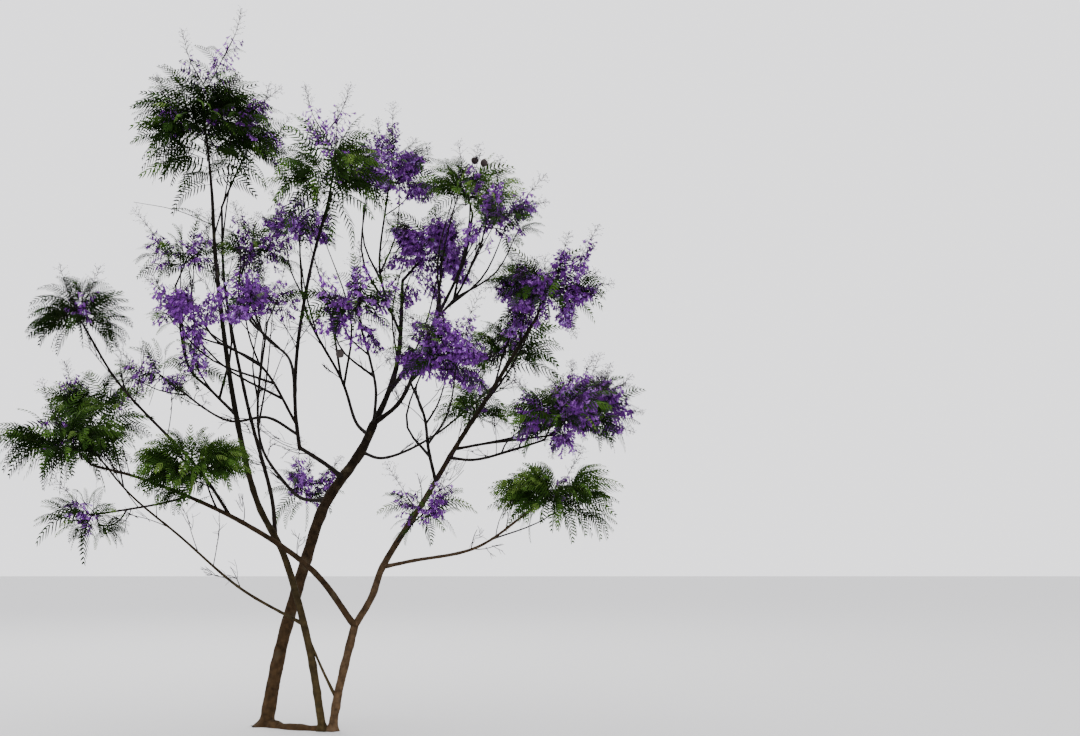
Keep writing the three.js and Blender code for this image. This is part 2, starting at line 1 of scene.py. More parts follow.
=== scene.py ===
"""Looks of a jacaranda tree in blossom: bark, twigs, feathery leaves, panicles and pods."""
import math

import bpy
import numpy as np
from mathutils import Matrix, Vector


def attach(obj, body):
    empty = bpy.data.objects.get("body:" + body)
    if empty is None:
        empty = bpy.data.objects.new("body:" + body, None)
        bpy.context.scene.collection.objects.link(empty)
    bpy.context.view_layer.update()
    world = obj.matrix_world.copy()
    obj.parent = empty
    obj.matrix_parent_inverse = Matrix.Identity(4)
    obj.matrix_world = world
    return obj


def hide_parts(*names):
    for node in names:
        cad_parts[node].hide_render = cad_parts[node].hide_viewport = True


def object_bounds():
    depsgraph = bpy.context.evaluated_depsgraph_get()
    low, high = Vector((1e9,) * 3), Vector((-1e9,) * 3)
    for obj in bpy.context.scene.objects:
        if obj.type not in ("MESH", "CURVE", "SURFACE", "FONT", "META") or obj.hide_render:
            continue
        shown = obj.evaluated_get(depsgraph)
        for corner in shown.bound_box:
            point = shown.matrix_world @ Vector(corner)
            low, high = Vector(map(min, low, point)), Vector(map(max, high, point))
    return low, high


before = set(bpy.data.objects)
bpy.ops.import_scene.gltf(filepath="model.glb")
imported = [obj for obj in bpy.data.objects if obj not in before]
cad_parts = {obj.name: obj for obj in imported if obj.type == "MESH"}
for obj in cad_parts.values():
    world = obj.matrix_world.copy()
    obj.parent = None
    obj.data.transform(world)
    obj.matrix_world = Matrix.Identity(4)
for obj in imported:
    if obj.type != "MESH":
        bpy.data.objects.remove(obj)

cad_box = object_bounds()

# Lengths are in millimetres until a mesh is made
TO_METRES = 0.001
MOST_TRIANGLES = 180000

# Limbs: the same values as in the part's source
FLARE_TOP = 90
FLARE_SPREAD = 0.8
FLARE_LOBES = 5
FLARE_LOBE_DEPTH = 0.3
RIDGE_THICK = (120, 90)
RIDGE_BEND = (-300, 110, -8)
RIDGE_RINGS = 50
RIDGE_SEED = 31
RIDGE_WAVES = ((0.1, 14, 0), (0.06, 31, 1))
CURVE_DIVISIONS = 200
HEIGHT_SAMPLES = 400
TANGENT_STEP = 0.0001
LIMB_SAMPLE = 20

# Growth of a mass of foliage: the same values as in the part's source
GOLDEN_ANGLE = math.pi * (3 - math.sqrt(5))
LOWEST_RISE = -0.55
SHOOT_REACH = (0.34, 0.54)
PARTING = (0.9, 0.42)
STEM_SUNK = 6
STEM_THICK = 18
SHOOT_THICK = 10
SPACE = 1.28
SPACE_MARGIN = 0.05
LIMB_CLEARANCE = 8
NEAR_UPRIGHT = 0.95
LEAVES_PER_SHOOT = 9
LEAVES_PER_BLADE = 3
LEAF_TURN = math.radians(160)
LEAF_RUN = 170
LEAF_RUN_SHARE = 0.92
LEAF_FIRST = 0.3
LEAF_LENGTH = (330, 470)
LEAF_SHORTEST = 170
LEAF_TRIM = 20
LEAF_WIDTH_SHARE = 0.38
LEAF_THICK = 9
LEAF_LEAN = (0.6, 1.65)
LEAF_DROOP = 0.3
PANICLE_LENGTH = (190, 280)
PANICLE_RISE = 0.9
POD_SIZE = 66
POD_THICK = 20
POD_STALK = 60
POD_DROP = 0.75

# Every limb: its name, the limb that it springs from and the height at which it leaves it, or
# None and its place at the foot; its diameters at both ends; and the places that it passes
LIMBS = [
    ("left_trunk", None, (-560, 320), (114, 74),
     [(-450, 370, 650), (-270, 450, 1360), (-110, 460, 1850), (210, 390, 2320), (310, 360, 2540)]),
    ("middle_stem", None, (-34, 0), (66, 27),
     [(-150, -80, 700), (-350, -180, 1430), (-560, -240, 1850), (-740, -290, 2560),
      (-920, -340, 3770), (-970, -340, 4380)]),
    ("right_stem", None, (38, 0), (70, 64), [(100, -30, 350), (220, -50, 850)]),
    ("thin_stem", "right_stem", 250, (26, 20), [(-40, -50, 500), (-140, -85, 735)]),
    ("back_leader", "middle_stem", 1570, (36, 20),
     [(-480, -30, 1880), (-740, 210, 2660), (-1020, 470, 3760), (-1090, 590, 4490)]),
    ("right_bough", "right_stem", 850, (60, 26),
     [(350, 0, 1080), (430, 50, 1320), (780, 200, 1910), (1030, 210, 2340), (1340, 60, 2810),
      (1710, -260, 3370)]),
    ("left_bough", "right_stem", 850, (55, 17),
     [(-90, -290, 1300), (-630, -590, 1700), (-1330, -680, 2010), (-1850, -520, 2150)]),
    ("left_bough_fork", "left_bough", 1890, (20, 15), [(-1190, -910, 1830), (-1520, -1300, 1750)]),
    ("left_rod", "left_bough", 1740, (26, 17),
     [(-940, -650, 2090), (-1600, -680, 2790), (-1900, -620, 3240)]),
    ("left_sweep", "middle_stem", 860, (27, 16),
     [(-760, 130, 1150), (-1320, 320, 1580), (-1790, 450, 1940), (-2080, 520, 2250)]),
    ("right_low_branch", "right_bough", 1320, (32, 18),
     [(690, -130, 1380), (1250, -470, 1500), (1680, -550, 1800)]),
    ("right_far_branch", "right_bough", 2240, (26, 17),
     [(1180, 40, 2215), (1510, -390, 2270), (1780, -650, 2340)]),
    ("right_back_branch", "right_bough", 2310, (26, 17),
     [(1260, 390, 2370), (1500, 560, 2410), (1840, 650, 2460)]),
    ("right_front_branch", "right_bough", 2040, (30, 18),
     [(820, -130, 2290), (820, -590, 2520), (760, -1230, 2740)]),
    ("back_right_branch", "left_trunk", 2300, (28, 16),
     [(360, 810, 2270), (770, 1430, 2520), (1360, 1750, 3060)]),
    ("arch", "left_trunk", 2080, (38, 33), [(-60, 130, 2180), (-220, -290, 2300)]),
    ("arch_leader", "arch", 2300, (33, 22),
     [(-235, -450, 2630), (-190, -650, 3090), (-60, -860, 3700), (70, -910, 4180)]),
    ("arch_front_branch", "arch_leader", 2480, (24, 15),
     [(-460, -810, 2920), (-760, -1040, 3090), (-910, -1140, 3340)]),
    ("arch_back_branch", "arch_leader", 2600, (26, 17),
     [(-380, 130, 3060), (-740, 780, 3390), (-1000, 1330, 3970)]),
    ("arch_left_branch", "arch_leader", 2400, (26, 16),
     [(-520, -60, 2560), (-950, 390, 2570), (-1650, 1100, 2980)]),
    ("middle_stem_branch", "middle_stem", 2560, (26, 17),
     [(-1020, 0, 2800), (-1240, 130, 3010), (-1400, 260, 3730)]),
    ("centre_left_branch", "left_trunk", 2440, (30, 18),
     [(130, 590, 2570), (-20, 780, 2950), (-340, 680, 3570), (-380, 550, 4050)]),
    ("centre_bough", "left_trunk", 2540, (54, 28),
     [(410, 420, 2770), (500, 490, 3110), (520, 650, 3840)]),
    ("centre_back_branch", "centre_bough", 3340, (26, 17),
     [(330, 910, 3770), (270, 1040, 4070), (340, 1040, 4730)]),
    ("right_leader", "left_trunk", 2540, (38, 20),
     [(550, 200, 2720), (790, -100, 3210), (1090, 100, 3920), (1160, 200, 4340)]),
    ("right_leader_fork", "right_leader", 3380, (24, 16),
     [(1070, -450, 3540), (1290, -980, 3880)]),
    ("front_branch", "left_trunk", 2540, (28, 17),
     [(380, -130, 2770), (400, -720, 2950), (390, -1170, 3110)]),
    ("hooked_limb", "left_trunk", 1890, (34, 19),
     [(-360, 810, 1910), (-580, 1180, 2060), (-860, 1530, 2400), (-940, 1690, 2790),
      (-900, 1880, 3640)]),
]

# Every mass of foliage: its name, its limb, the height at which it leaves it (None at its tip),
# its middle, its half sizes, its shoots, how many bloom, its seed, its tall flowering shoots
# and how many seed pods it bears
MASSES = [
    ("top_left", "middle_stem", None, (-1060, -340, 4960), (560, 540, 590), 8, 4, 11,
     [(250, 0, 930), (-100, -60, 670)], 0),
    ("top_back", "back_leader", None, (-850, 650, 5050), (460, 460, 490), 6, 4, 12, [], 0),
    ("high_centre", "arch_leader", None, (50, -980, 4400), (500, 480, 520), 7, 2, 13,
     [(-90, 0, 600), (100, 40, 620)], 0),
    ("high_right", "centre_back_branch", None, (350, 1100, 4900), (400, 400, 370), 6, 5, 14,
     [(20, 0, 430)], 0),
    ("pod", "right_leader", None, (1140, 150, 4500), (370, 360, 300), 6, 2, 15, [], 3),
    ("right_shoulder", "right_leader_fork", None, (1420, -1040, 3990), (280, 300, 310),
     5, 3, 16, [], 0),
    ("heart", "centre_bough", None, (790, 640, 4060), (400, 380, 430), 7, 7, 57, [], 0),
    ("front", "front_branch", None, (340, -1270, 3320), (370, 350, 330), 6, 5, 18, [], 1),
    ("low_front", "right_front_branch", None, (1050, -1500, 2880), (350, 340, 330),
     6, 5, 19, [], 0),
    ("right", "right_bough", None, (1780, -260, 3560), (400, 390, 370), 7, 6, 20,
     [(280, 0, 430)], 0),
    ("right_back", "back_right_branch", None, (1520, 1820, 3340), (420, 410, 320),
     5, 2, 21, [], 0),
    ("back_left", "arch_back_branch", None, (-890, 1420, 4230), (360, 380, 400), 6, 5, 22,
     [(-180, 0, 400)], 0),
    ("back_centre", "centre_left_branch", None, (-360, 590, 4260), (300, 300, 280),
     5, 4, 23, [], 0),
    ("small_left", "arch_front_branch", 2920, (-540, -1150, 3330), (210, 220, 220),
     3, 3, 24, [], 0),
    ("far_back", "hooked_limb", None, (-870, 1950, 3820), (310, 330, 290), 5, 4, 25, [], 0),
    ("left_high", "middle_stem_branch", None, (-1340, 260, 3950), (350, 340, 300),
     5, 3, 26, [], 0),
    ("left_hanging", "arch_front_branch", None, (-990, -1210, 3240), (220, 240, 270),
     4, 3, 27, [], 0),
    ("far_left", "left_rod", None, (-1950, -620, 3310), (350, 340, 280), 6, 2, 28, [], 0),
    ("left_back", "left_sweep", None, (-2180, 620, 2620), (410, 400, 420), 6, 2, 29,
     [(-190, 0, 420)], 0),
    ("left_low", "left_bough", None, (-2080, -520, 2260), (460, 420, 420), 7, 1, 30, [], 0),
    ("left_skirt", "left_bough_fork", None, (-1640, -1360, 1660), (270, 280, 260),
     4, 1, 31, [], 0),
    ("left_leafy", "left_bough", 1790, (-930, -960, 2090), (370, 340, 280), 5, 0, 32, [], 0),
    ("left_tip", "arch_left_branch", None, (-1810, 1190, 2970), (300, 320, 360),
     5, 3, 33, [], 0),
    ("left_inner", "middle_stem_branch", 2780, (-1090, -180, 2960), (270, 250, 250),
     4, 2, 34, [], 0),
    ("far_right", "right_back_branch", None, (2180, 650, 2650), (450, 440, 340),
     7, 6, 35, [], 0),
    ("far_right_front", "right_far_branch", None, (1930, -720, 2490), (390, 380, 310),
     6, 5, 36, [], 0),
    ("right_inner", "right_bough", 2430, (1150, 560, 2670), (290, 300, 260), 4, 1, 37, [], 0),
    ("low_centre", "right_bough", 1520, (830, -330, 1770), (330, 300, 230), 5, 3, 38, [], 0),
    ("low_right", "right_low_branch", None, (1880, -590, 1850), (460, 420, 310),
     7, 1, 39, [], 0),
    ("low_back", "hooked_limb", 1990, (-410, 1340, 1950), (320, 320, 290), 5, 3, 40, [], 0),
]

# The solids with pale lower bark, by its tint; all other limbs take the high bark, dark all over
# as painted shade
LOW_BARK = {
    "umber": ("root_flare", "left_trunk", "left_bough"),
    "olive": ("middle_stem", "left_sweep", "thin_stem"),
    "tan": ("right_stem", "right_bough", "right_low_branch"),
}

# Bark relief: a radius at the foot, and for limbs above it the sides and the length between rings
TUBE_FINENESS = ((30, 32, 17), (15, 18, 22), (0, 12, 30))
LEAST_RINGS = 8
COLLAR = 0.6
COLLAR_REACH = 1.6
COLLAR_MOST = 0.9
ROOTED = 1.3
KNOT_SPACING = (150, 380)
KNOT_SWELL = (0.05, 0.14)
KNOT_FREE_END = 60
KNOT_REACH = 0.9
KNOT_REACH_MORE = 8
KNOT_SEED = 900
BELOW_GROUND = 120
RELIEF_SEED = 40
RELIEF_SEED_STEP = 7
LUMPS = ((70, 0.05), (26, 0.03))
FISSURE_SIZE = 7.5
FISSURE_STRETCH = 7
FISSURE_DEPTH = 3.4
FISSURE_LIFT = 1.2
GRAIN_SIZE = 9
GRAIN_DEPTH = 0.9
FULL_RELIEF_RADIUS = 45
LEAST_RELIEF = 0.12

# Finer growth than the source's: twigs on the shoots and on the limb below a mass, with leaves
SIDE_TWIG_FROM = (0.4, 0.75)
SIDE_TWIG_LENGTH = (120, 200)
SIDE_TWIG_THICK = (7.5, 4.5)
SIDE_TWIG_ROOM = 8
SIDE_TWIG_FREE = 60
SIDE_TWIG_TRIES = 6
LIMB_TWIG_BELOW = ((150, 420), (420, 800), (750, 1200), (1000, 1500))
LIMB_TWIG_REACH = (0.35, 0.7)
LIMB_TWIG_RISE = (-0.3, 0.55)
LEAVES_PER_TWIG = 6
WHORL_RUN = 110
TWIG_LEAF_LEAN = (0.35, 1.3)
TWIG_LEAF_SHARE = 0.85
OWN_WAY = 0.6
BLADE_LIFT = (0.1, 0.4)
STEEPEST = -0.6
HIGH_LEAF_CUT = 0.3
HIGH_LEAF_FROM = 0.6
FAN_SPREAD = 0.15
FAN_CORE = 30
FAN_ROLL = (0.4, 1.25)
STEM_LEAF_SPACING = 26
STEM_LEAF_LENGTH = (430, 620)
STEM_LEAF_RISE = (-0.4, 0.8)
STEM_LEAVES = (0.12, 0.9)
TALL_LEAVES = (0.05, 0.7)
TALL_LEAF_SHARE = 0.8
LEAFY = 0.8
YOUNG_LEAVES = 3
YOUNG_LEAF = (120, 210)

# Leaves: pairs of pinnae along a rachis, each pinna a row of pointed leaflets
PINNA_PAIRS = 13
PINNA_FIRST = 0.12
PINNA_LAST = 0.97
PINNA_LENGTH = 0.225
PINNA_WIDEST_AT = 0.38
PINNA_FALL = 0.72
PINNA_ANGLE = (1.3, 0.9)
PINNA_SPREAD = (-0.08, 0.08)
PINNA_SHIFT = (-0.006, 0.006)
PINNA_UNEVEN = (0.88, 1.08)
PINNA_CURL = 0.3
PINNA_HANG = 0.5
PINNA_HANG_SPREAD = (-0.2, 0.2)
PINNA_STEPS = 3
PINNA_WIDTH = 0.0135
PINNA_TAPER = (0.75, 1, 0.75)
LEAFLET_TOOTH = 0.25
LEAF_ARCH = (0.1, 0.2)
LEAF_TIP_DROP = 0.07
LEAST_UPNESS = 0.2
LEAF_PATTERNS = 8
LEAF_SEED = 70
RACHIS_THICK = (6, 2)
RACHIS_STEPS = 3
TIP_FROM = 8

# Blossom
PANICLE_LEVELS = 7
PANICLE_WHORL = 3
PANICLE_TWIST = 0.9
PANICLE_THICK = (6.5, 2.4)
WHORL_SPREAD = (-0.4, 0.4)
LEVEL_SHARES = (-0.15, 0.95)
BRANCH_SHARES = (0.46, 0.16)
BRANCH_SPREAD = (0.5, 1.25)
BRANCHES_BY_BLOOM = (0.5, 0.97)
IN_BUD_REACH = 0.7
BUD_LEVELS = 5
BUD_STRETCH = 0.65
BUD_BRANCH = (0.32, 0.13)
BUD_BRANCH_SPREAD = (0.8, 1.3)
BUD_BRANCH_LEAN = 0.7
BUD_BRANCH_RISE = 0.12
BUD_TWIST = 1.4
BUDS_ON_BRANCH = 4
BUD_SPACING = 0.2
BUD_FORK = (9, 17)
SPINE_THICK = (6, 3.5)
ROOM_BEYOND = 12
BRANCH_ANGLE = (1.3, 0.75)
FLOWERS_ON_BRANCH = (8, 2.4)
FLOWERS_BY_BLOOM = (0.5, 1)
FLOWERS_SPREAD = (-1.4, 1.4)
OPEN_SHARE = 0.9
OPEN_BY_BLOOM = (0.6, 1)
SIDE_PANICLE = 0.72
SIDE_PANICLE_RISE = (-0.9, 0.6)
SPIKE_LEVELS = 13
SPIKE_FROM = 0.4
SPIKE_OPEN = (0.3, 0.55)
SPIKE_BRANCH = (100, 45)
SPIKE_SPREAD = (0.75, 1.2)
SPIKE_TILT = (1.2, 0.7)
SPIKE_TWIST = 1.3
SPIKE_THICK = (4, 1.4)
FLOWER_BRANCH_RISE = (-0.55, 0.15)
FLOWER_BRANCH_BOW = 0.1
FLOWER_STALK_RADIUS = 1.6
FLOWERING_SHARE = 0.75
FLOWER_DROOP = 0.2
FLOWER_NOD = 1.1
FLOWER_SPREAD = 0.25
# how much flowers darken towards a panicle's axis and lighten at branch ends: painted shade and
# light
TONE_BY_PLACE = 0.35
FLOWER_PATTERNS = 5
FLOWER_SEED = 90
FLOWER_SIZE = (0.8, 1.15)
FLOWER_SIDES = 5
FLOWER_THROAT = (33, 6.5)
FLOWER_LOBE = (47, 12)
FLOWER_BEND = 7
THROAT_FLATNESS = 0.8
LOBE_BEND = FLOWER_BEND * 1.4
LOBE_CORNERS = (0.2, 0.8)
LOBE_REACH = (0.85, 1.12)
LOBE_LIFT = (-5, 4)
BUD_SIZE = (8, 13)
CALYX_SIZE = (3.6, 3.6, 8)
POD_SIDES = 28
POD_HELD_AT = 0.42
POD_TWIG_THICK = (7, 5)
POD_PROFILE = ((0.35, 1), (0.75, 0.8), (0.97, 0.25), (1, -0.05), (0.97, -0.3), (0.75, -0.8),
               (0.35, -1))

# The twigs that end in pods: the share of the shoot where each starts, and its end, measured from
# the middle of the mass
POD_TWIGS = {
    "pod": ((1, (50, -170, 290)), (1, (100, -220, 310)), (1, (-180, 120, 260))),
    "front": ((0, (-190, 40, -310)),),
}

# Further panicles of a mass: the place where each starts, measured from the middle of the mass
MORE_PANICLES = {
    "top_left": ((370, -110, 60),),
    "front": ((-90, -90, -120), (50, 40, -150), (-20, -60, -30)),
    "right": ((0, -190, 20), (-60, 60, -100)),
}
MORE_THICK = (8, 5)
MORE_SHARE = 0.85

# A ring of leaves round one growth point: its place, measured from the middle of the mass, and the
# number of leaves
LEAF_RINGS = {"high_centre": ((10, -80, -170), 13)}
RING_TILT = (-0.45, 0.15)
RING_SPREAD = (-0.2, 0.2)
RING_LEAF_SHARE = 1.1
RING_TWIG_THICK = (14, 9)

LONE_TWIG = [(-955, -340, 4130), (-1260, -370, 4250), (-1600, -400, 4310)]
LONE_LEAVES = ((0.55, 330), (0.3, 200))
LONE_LEAF_WAY = (0.85, -0.1, -0.35)
LONE_SEED = 7

# Twigs as they look: a little finer than the source's
SHOOT_BOW = 0.05
SHOOT_BOW_TURN = 2.1
SHOOT_LOOK = {"plain": (9.5, 6.5), "tall": (8, 6)}
DEAD_TWIG_THICK = ((10, 6), (7, 4), (5, 3))
DEAD_TWIG_LENGTH = (160, 420)
DEAD_TWIG_SPACING = 400
DEAD_TWIG_FROM = (0.25, 0.93)
DEAD_TWIG_SEED = 300
DEAD_TWIG_BOW = 0.07
DEAD_FORK_AT = (0.3, 0.85)
DEAD_FORK_LEAN = (-0.9, 0.9)
DEAD_FORK_SPREAD = 0.25

# The tones of leaves, which are painted light and shade: the scores from which they are lighter
TONE_STEPS = (0.2, 1)
TONE_SPREAD = 0.35
# outer pinnae a tone lighter: painted light at the edges of a mass, and in part the real paler
# young leaflets
LIGHT_TIP_FROM = -0.3
LIGHT_TIP_CHANCE = 0.15

# How each mass looks: the share of a full panicle's flowers that are open, the share of the finer
# leaves that it bears, how light its leaves are, the finer twigs on each of its shoots, and the
# thin branches that come up to it from the limb below
MASS_LOOKS = {
    "top_left": (0.35, 1, -0.2, 3, 1),
    "top_back": (0.45, 0.5, -0.1, 2, 1),
    "high_centre": (0.12, 0.75, 0.2, 1, 1),
    "high_right": (1, 0.3, -0.2, 2, 4),
    "pod": (0.6, 0.8, 0.5, 2, 4),
    "right_shoulder": (0.9, 0.6, 0, 1, 4),
    "heart": (1, 0.1, -0.3, 3, 4),
    "front": (0.95, 0.3, -0.3, 0, 2),
    "low_front": (1, 0.35, -0.3, 2, 4),
    "right": (1, 0.6, -0.1, 2, 3),
    "right_back": (0.5, 0.8, -0.1, 1, 2),
    "back_left": (0.75, 0.5, 0.1, 1, 4),
    "back_centre": (0.9, 0.4, -0.1, 1, 4),
    "small_left": (0.9, 0.3, -0.1, 1, 4),
    "far_back": (0.75, 0.5, -0.2, 1, 4),
    "left_high": (0.75, 0.5, 0.1, 1, 4),
    "left_hanging": (0.9, 0.2, -0.1, 2, 4),
    "far_left": (0.25, 1, -0.9, 3, 0),
    "left_back": (0.25, 1, 0, 2, 1),
    "left_low": (0.3, 1, 0, 2, 1),
    "left_skirt": (0.75, 1, -0.1, 3, 1),
    "left_leafy": (0.2, 1, 0.35, 8, 0),
    "left_tip": (0.75, 0.4, 0, 1, 1),
    "left_inner": (0.75, 0.6, 0, 1, 4),
    "far_right": (1, 0.45, -0.2, 3, 3),
    "far_right_front": (1, 0.5, -0.2, 1, 2),
    "right_inner": (0.3, 1, 0.3, 2, 4),
    "low_centre": (0.75, 0.7, 0.4, 1, 2),
    "low_right": (0.3, 1, 0.4, 3, 1),
    "low_back": (0.8, 0.7, 0.4, 1, 4),
}
FULL_BLOOM = 0.8

# Every bark: its material's name, its slot, its colours near the ground, high up and in pale
# patches, and the heights in metres between which it darkens. The darkening upwards is painted
# shade of the backlit upper limbs, and the high bark is dark all over as painted shade
BARKS = {
    "umber": ("bark_umber", "bark", (0.050, 0.030, 0.014), (0.0070, 0.0052, 0.0034),
              (0.054, 0.042, 0.024), (0.2, 2.5)),
    "olive": ("bark_olive", "bark", (0.052, 0.038, 0.016), (0.0062, 0.0052, 0.0032),
              (0.048, 0.045, 0.026), (0.2, 2.5)),
    "tan": ("bark_tan", "bark", (0.086, 0.054, 0.029), (0.0110, 0.0085, 0.0052),
            (0.088, 0.070, 0.046), (0.2, 2.5)),
    "high": ("dark_bark", "dark_bark", (0.0120, 0.0086, 0.0065), (0.0048, 0.0038, 0.0030),
             (0.024, 0.021, 0.017), (1.6, 3.4)),
}

# Every piece of foliage: its slot, whether it is smooth, its material's name and colour, how much
# the colour varies and on what scale, its roughness and its specular level
# Leaf colours from darkest to lightest, all kept dark as painted shade of a backlit crown: the
# deepest is painted shade deep in a mass, the lightest is painted light on outer leaves as well as
# the real paler colour of young leaves
LEAVES = ("leaves_deep", "leaves_dark", "leaves_green", "leaves_young")
LEAF_COLOURS = ((0.0050, 0.0130, 0.0015), (0.0145, 0.0370, 0.0048), (0.038, 0.082, 0.011),
                (0.082, 0.136, 0.025))
# Blossom colours from darkest to lightest, all kept dark as painted shade of a backlit crown: the
# deepest is painted shade between the flowers, and the lilac is in part painted light where the
# sky shines through them
BLOSSOM = ("blossom_deep", "blossom_violet", "blossom_mauve", "blossom_lilac")
BLOSSOM_COLOURS = ((0.030, 0.0038, 0.065), (0.160, 0.034, 0.268), (0.345, 0.130, 0.510),
                   (0.520, 0.320, 0.780))
FOLIAGE_LOOKS = {
    "twigs": ("dark_bark", True, "twig_wood", (0.0060, 0.0046, 0.0035), 0.4, 18, 0.85, 0.08),
    "leaf_stalks": ("leafy_foliage", True, "leaf_stalk", (0.013, 0.021, 0.005), 0.35, 14, 0.7,
                    0.08),
    "flower_stalks": ("blooming_foliage", True, "flower_stalk", (0.014, 0.010, 0.010), 0.35, 14,
                      0.7, 0.08),
    **{name: ("leafy_foliage", False, name, color, 0.3, 6, 0.8, 0.04)
       for name, color in zip(LEAVES, LEAF_COLOURS)},
    **{name: ("blooming_foliage", True, name, color, 0.25, 9, 0.75, 0.06)
       for name, color in zip(BLOSSOM, BLOSSOM_COLOURS)},
    "calyxes_and_buds": ("blooming_foliage", False, "calyx", (0.022, 0.008, 0.030), 0.35, 20, 0.7,
                         0.08),
    "seed_pods": (None, True, "pod", (0.034, 0.024, 0.022), 0.45, 30, 0.55, 0.3),
}

UP, DOWN = np.array([0, 0, 1.0]), np.array([0, 0, -1.0])
MIDDLES = np.array([mass[3] for mass in MASSES], float)
HALVES = np.array([mass[4] for mass in MASSES], float)
THICK_OF = {limb[0]: limb[3] for limb in LIMBS}


def blend(low, high, share):
    return low + (high - low) * share


def unit(vector):
    vector = np.asarray(vector, float)
    return vector / np.linalg.norm(vector, axis=-1, keepdims=True)


def turns(count):
    """Angles that part a full turn evenly."""
    return 2 * math.pi * np.arange(count) / count


def distances(line):
    """How far along a line each of its points is."""
    return np.concatenate([[0], np.cumsum(np.linalg.norm(np.diff(line, axis=0), axis=1))])


def seeded_numbers(seed):
    """The same steady stream of numbers from 0 to 1 as the part's source draws."""
    state = seed
    while True:
        state = (state * 1664525 + 1013904223) % 4294967296
        yield state / 4294967296


def rotated(vector, axis, angle):
    """A vector turned about a unit axis."""
    cos, sin = math.cos(angle), math.sin(angle)
    return vector * cos + np.cross(axis, vector) * sin + axis * np.dot(axis, vector) * (1 - cos)


def cross_directions(axis):
    """Two directions at right angles to a third and to each other."""
    upright = (0, 0, 1) if abs(axis[2]) < NEAR_UPRIGHT else (1, 0, 0)
    side = unit(np.cross(axis, upright))
    return side, unit(np.cross(side, axis))


def sideways(axis, turn):
    """A direction at right angles to an axis, turned round it."""
    across, over = cross_directions(axis)
    return across * math.cos(turn) + over * math.sin(turn)


def leaning(axis, lean, turn):
    """A direction that leans away from an axis, turned round it."""
    across, over = cross_directions(axis)
    return (axis * math.cos(lean) + across * math.sin(lean) * math.cos(turn)
            + over * math.sin(lean) * math.sin(turn))


def rising(turn, rise):
    """A direction with a turn round the upright and a share of it that rises."""
    level = math.sqrt(1 - rise * rise)
    return np.array([level * math.cos(turn), level * math.sin(turn), rise])


class Curve:
    """A centripetal Catmull-Rom curve through points, measured along its length."""

    def __init__(self, points):
        self.points = np.array(points, float)
        self.steps = np.linspace(0, 1, CURVE_DIVISIONS + 1)
        self.lengths = distances(self.at(self.steps))
        self.length = self.lengths[-1]

    def at(self, share):
        points = self.points
        last = len(points) - 1
        place = np.clip(np.asarray(share, float), 0, 1) * last
        index = np.minimum(place.astype(int), last - 1)
        t = (place - index)[..., None]
        padded = np.vstack([2 * points[0] - points[1], points, 2 * points[-1] - points[-2]])
        x0, x1, x2, x3 = (padded[index + k] for k in range(4))
        gap0, gap1, gap2 = (
            np.sum((a - b) ** 2, axis=-1, keepdims=True) ** 0.25
            for a, b in ((x0, x1), (x1, x2), (x2, x3))
        )
        t1 = ((x1 - x0) / gap0 - (x2 - x0) / (gap0 + gap1) + (x2 - x1) / gap1) * gap1
        t2 = ((x2 - x1) / gap1 - (x3 - x1) / (gap1 + gap2) + (x3 - x2) / gap2) * gap1
        square = (-3 * x1 + 3 * x2 - 2 * t1 - t2) * t ** 2
        return x1 + t1 * t + square + (2 * x1 - 2 * x2 + t1 + t2) * t ** 3

    def step(self, share):
        return np.interp(np.asarray(share) * self.length, self.lengths, self.steps)

    def point(self, share):
        return self.at(self.step(share))

    def tangent(self, share):
        step = self.step(share)
        return unit(self.at(np.minimum(step + TANGENT_STEP, 1))
                    - self.at(np.maximum(step - TANGENT_STEP, 0)))

    def share_at_height(self, height):
        samples = self.point(np.linspace(0, 1, HEIGHT_SAMPLES + 1))
        found = np.nonzero(samples[:, 2] >= height)[0]
        return (found[0] if len(found) else HEIGHT_SAMPLES) / HEIGHT_SAMPLES

    def at_height(self, height):
        return self.point(self.share_at_height(height))


class Batch:
    """Vertices and triangles of many small things that are joined to one mesh."""

    def __init__(self):
        self.vertices, self.faces, self.count = [], [], 0

    def add(self, vertices, faces):
        self.vertices.append(np.asarray(vertices, float))
        self.faces.append(np.asarray(faces, int) + self.count)
        self.count += len(vertices)

    def build(self, name, material, slot, replaced, smooth=True):
        """Joins the batch to one piece, or to several where it has too many triangles for one."""
        pieces = math.ceil(sum(len(faces) for faces in self.faces) / MOST_TRIANGLES)
        cuts = [round(len(self.faces) * k / pieces) for k in range(pieces + 1)]
        for k in range(pieces):
            low, high = cuts[k:k + 2]
            before = sum(len(vertices) for vertices in self.vertices[:low])
            vertices = np.concatenate(self.vertices[low:high]) * TO_METRES
            faces = np.concatenate(self.faces[low:high]) - before
            piece = mesh_piece(f"{name}_{k + 1}" if pieces > 1 else name, vertices, faces, smooth)
            piece.data.materials.append(material)
            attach(piece, "root")
            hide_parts(*replaced)


def mesh_piece(name, vertices, faces, smooth):
    mesh = bpy.data.meshes.new(name)
    mesh.vertices.add(len(vertices))
    mesh.vertices.foreach_set("co", vertices.astype(np.float32).ravel())
    mesh.loops.add(3 * len(faces))
    mesh.loops.foreach_set("vertex_index", faces.astype(np.int32).ravel())
    mesh.polygons.add(len(faces))
    mesh.polygons.foreach_set("loop_start", np.arange(0, 3 * len(faces), 3, dtype=np.int32))
    mesh.update(calc_edges=True)
    mesh.polygons.foreach_set("use_smooth", np.full(len(faces), smooth))
    piece = bpy.data.objects.new(name, mesh)
    bpy.context.scene.collection.objects.link(piece)
    return piece


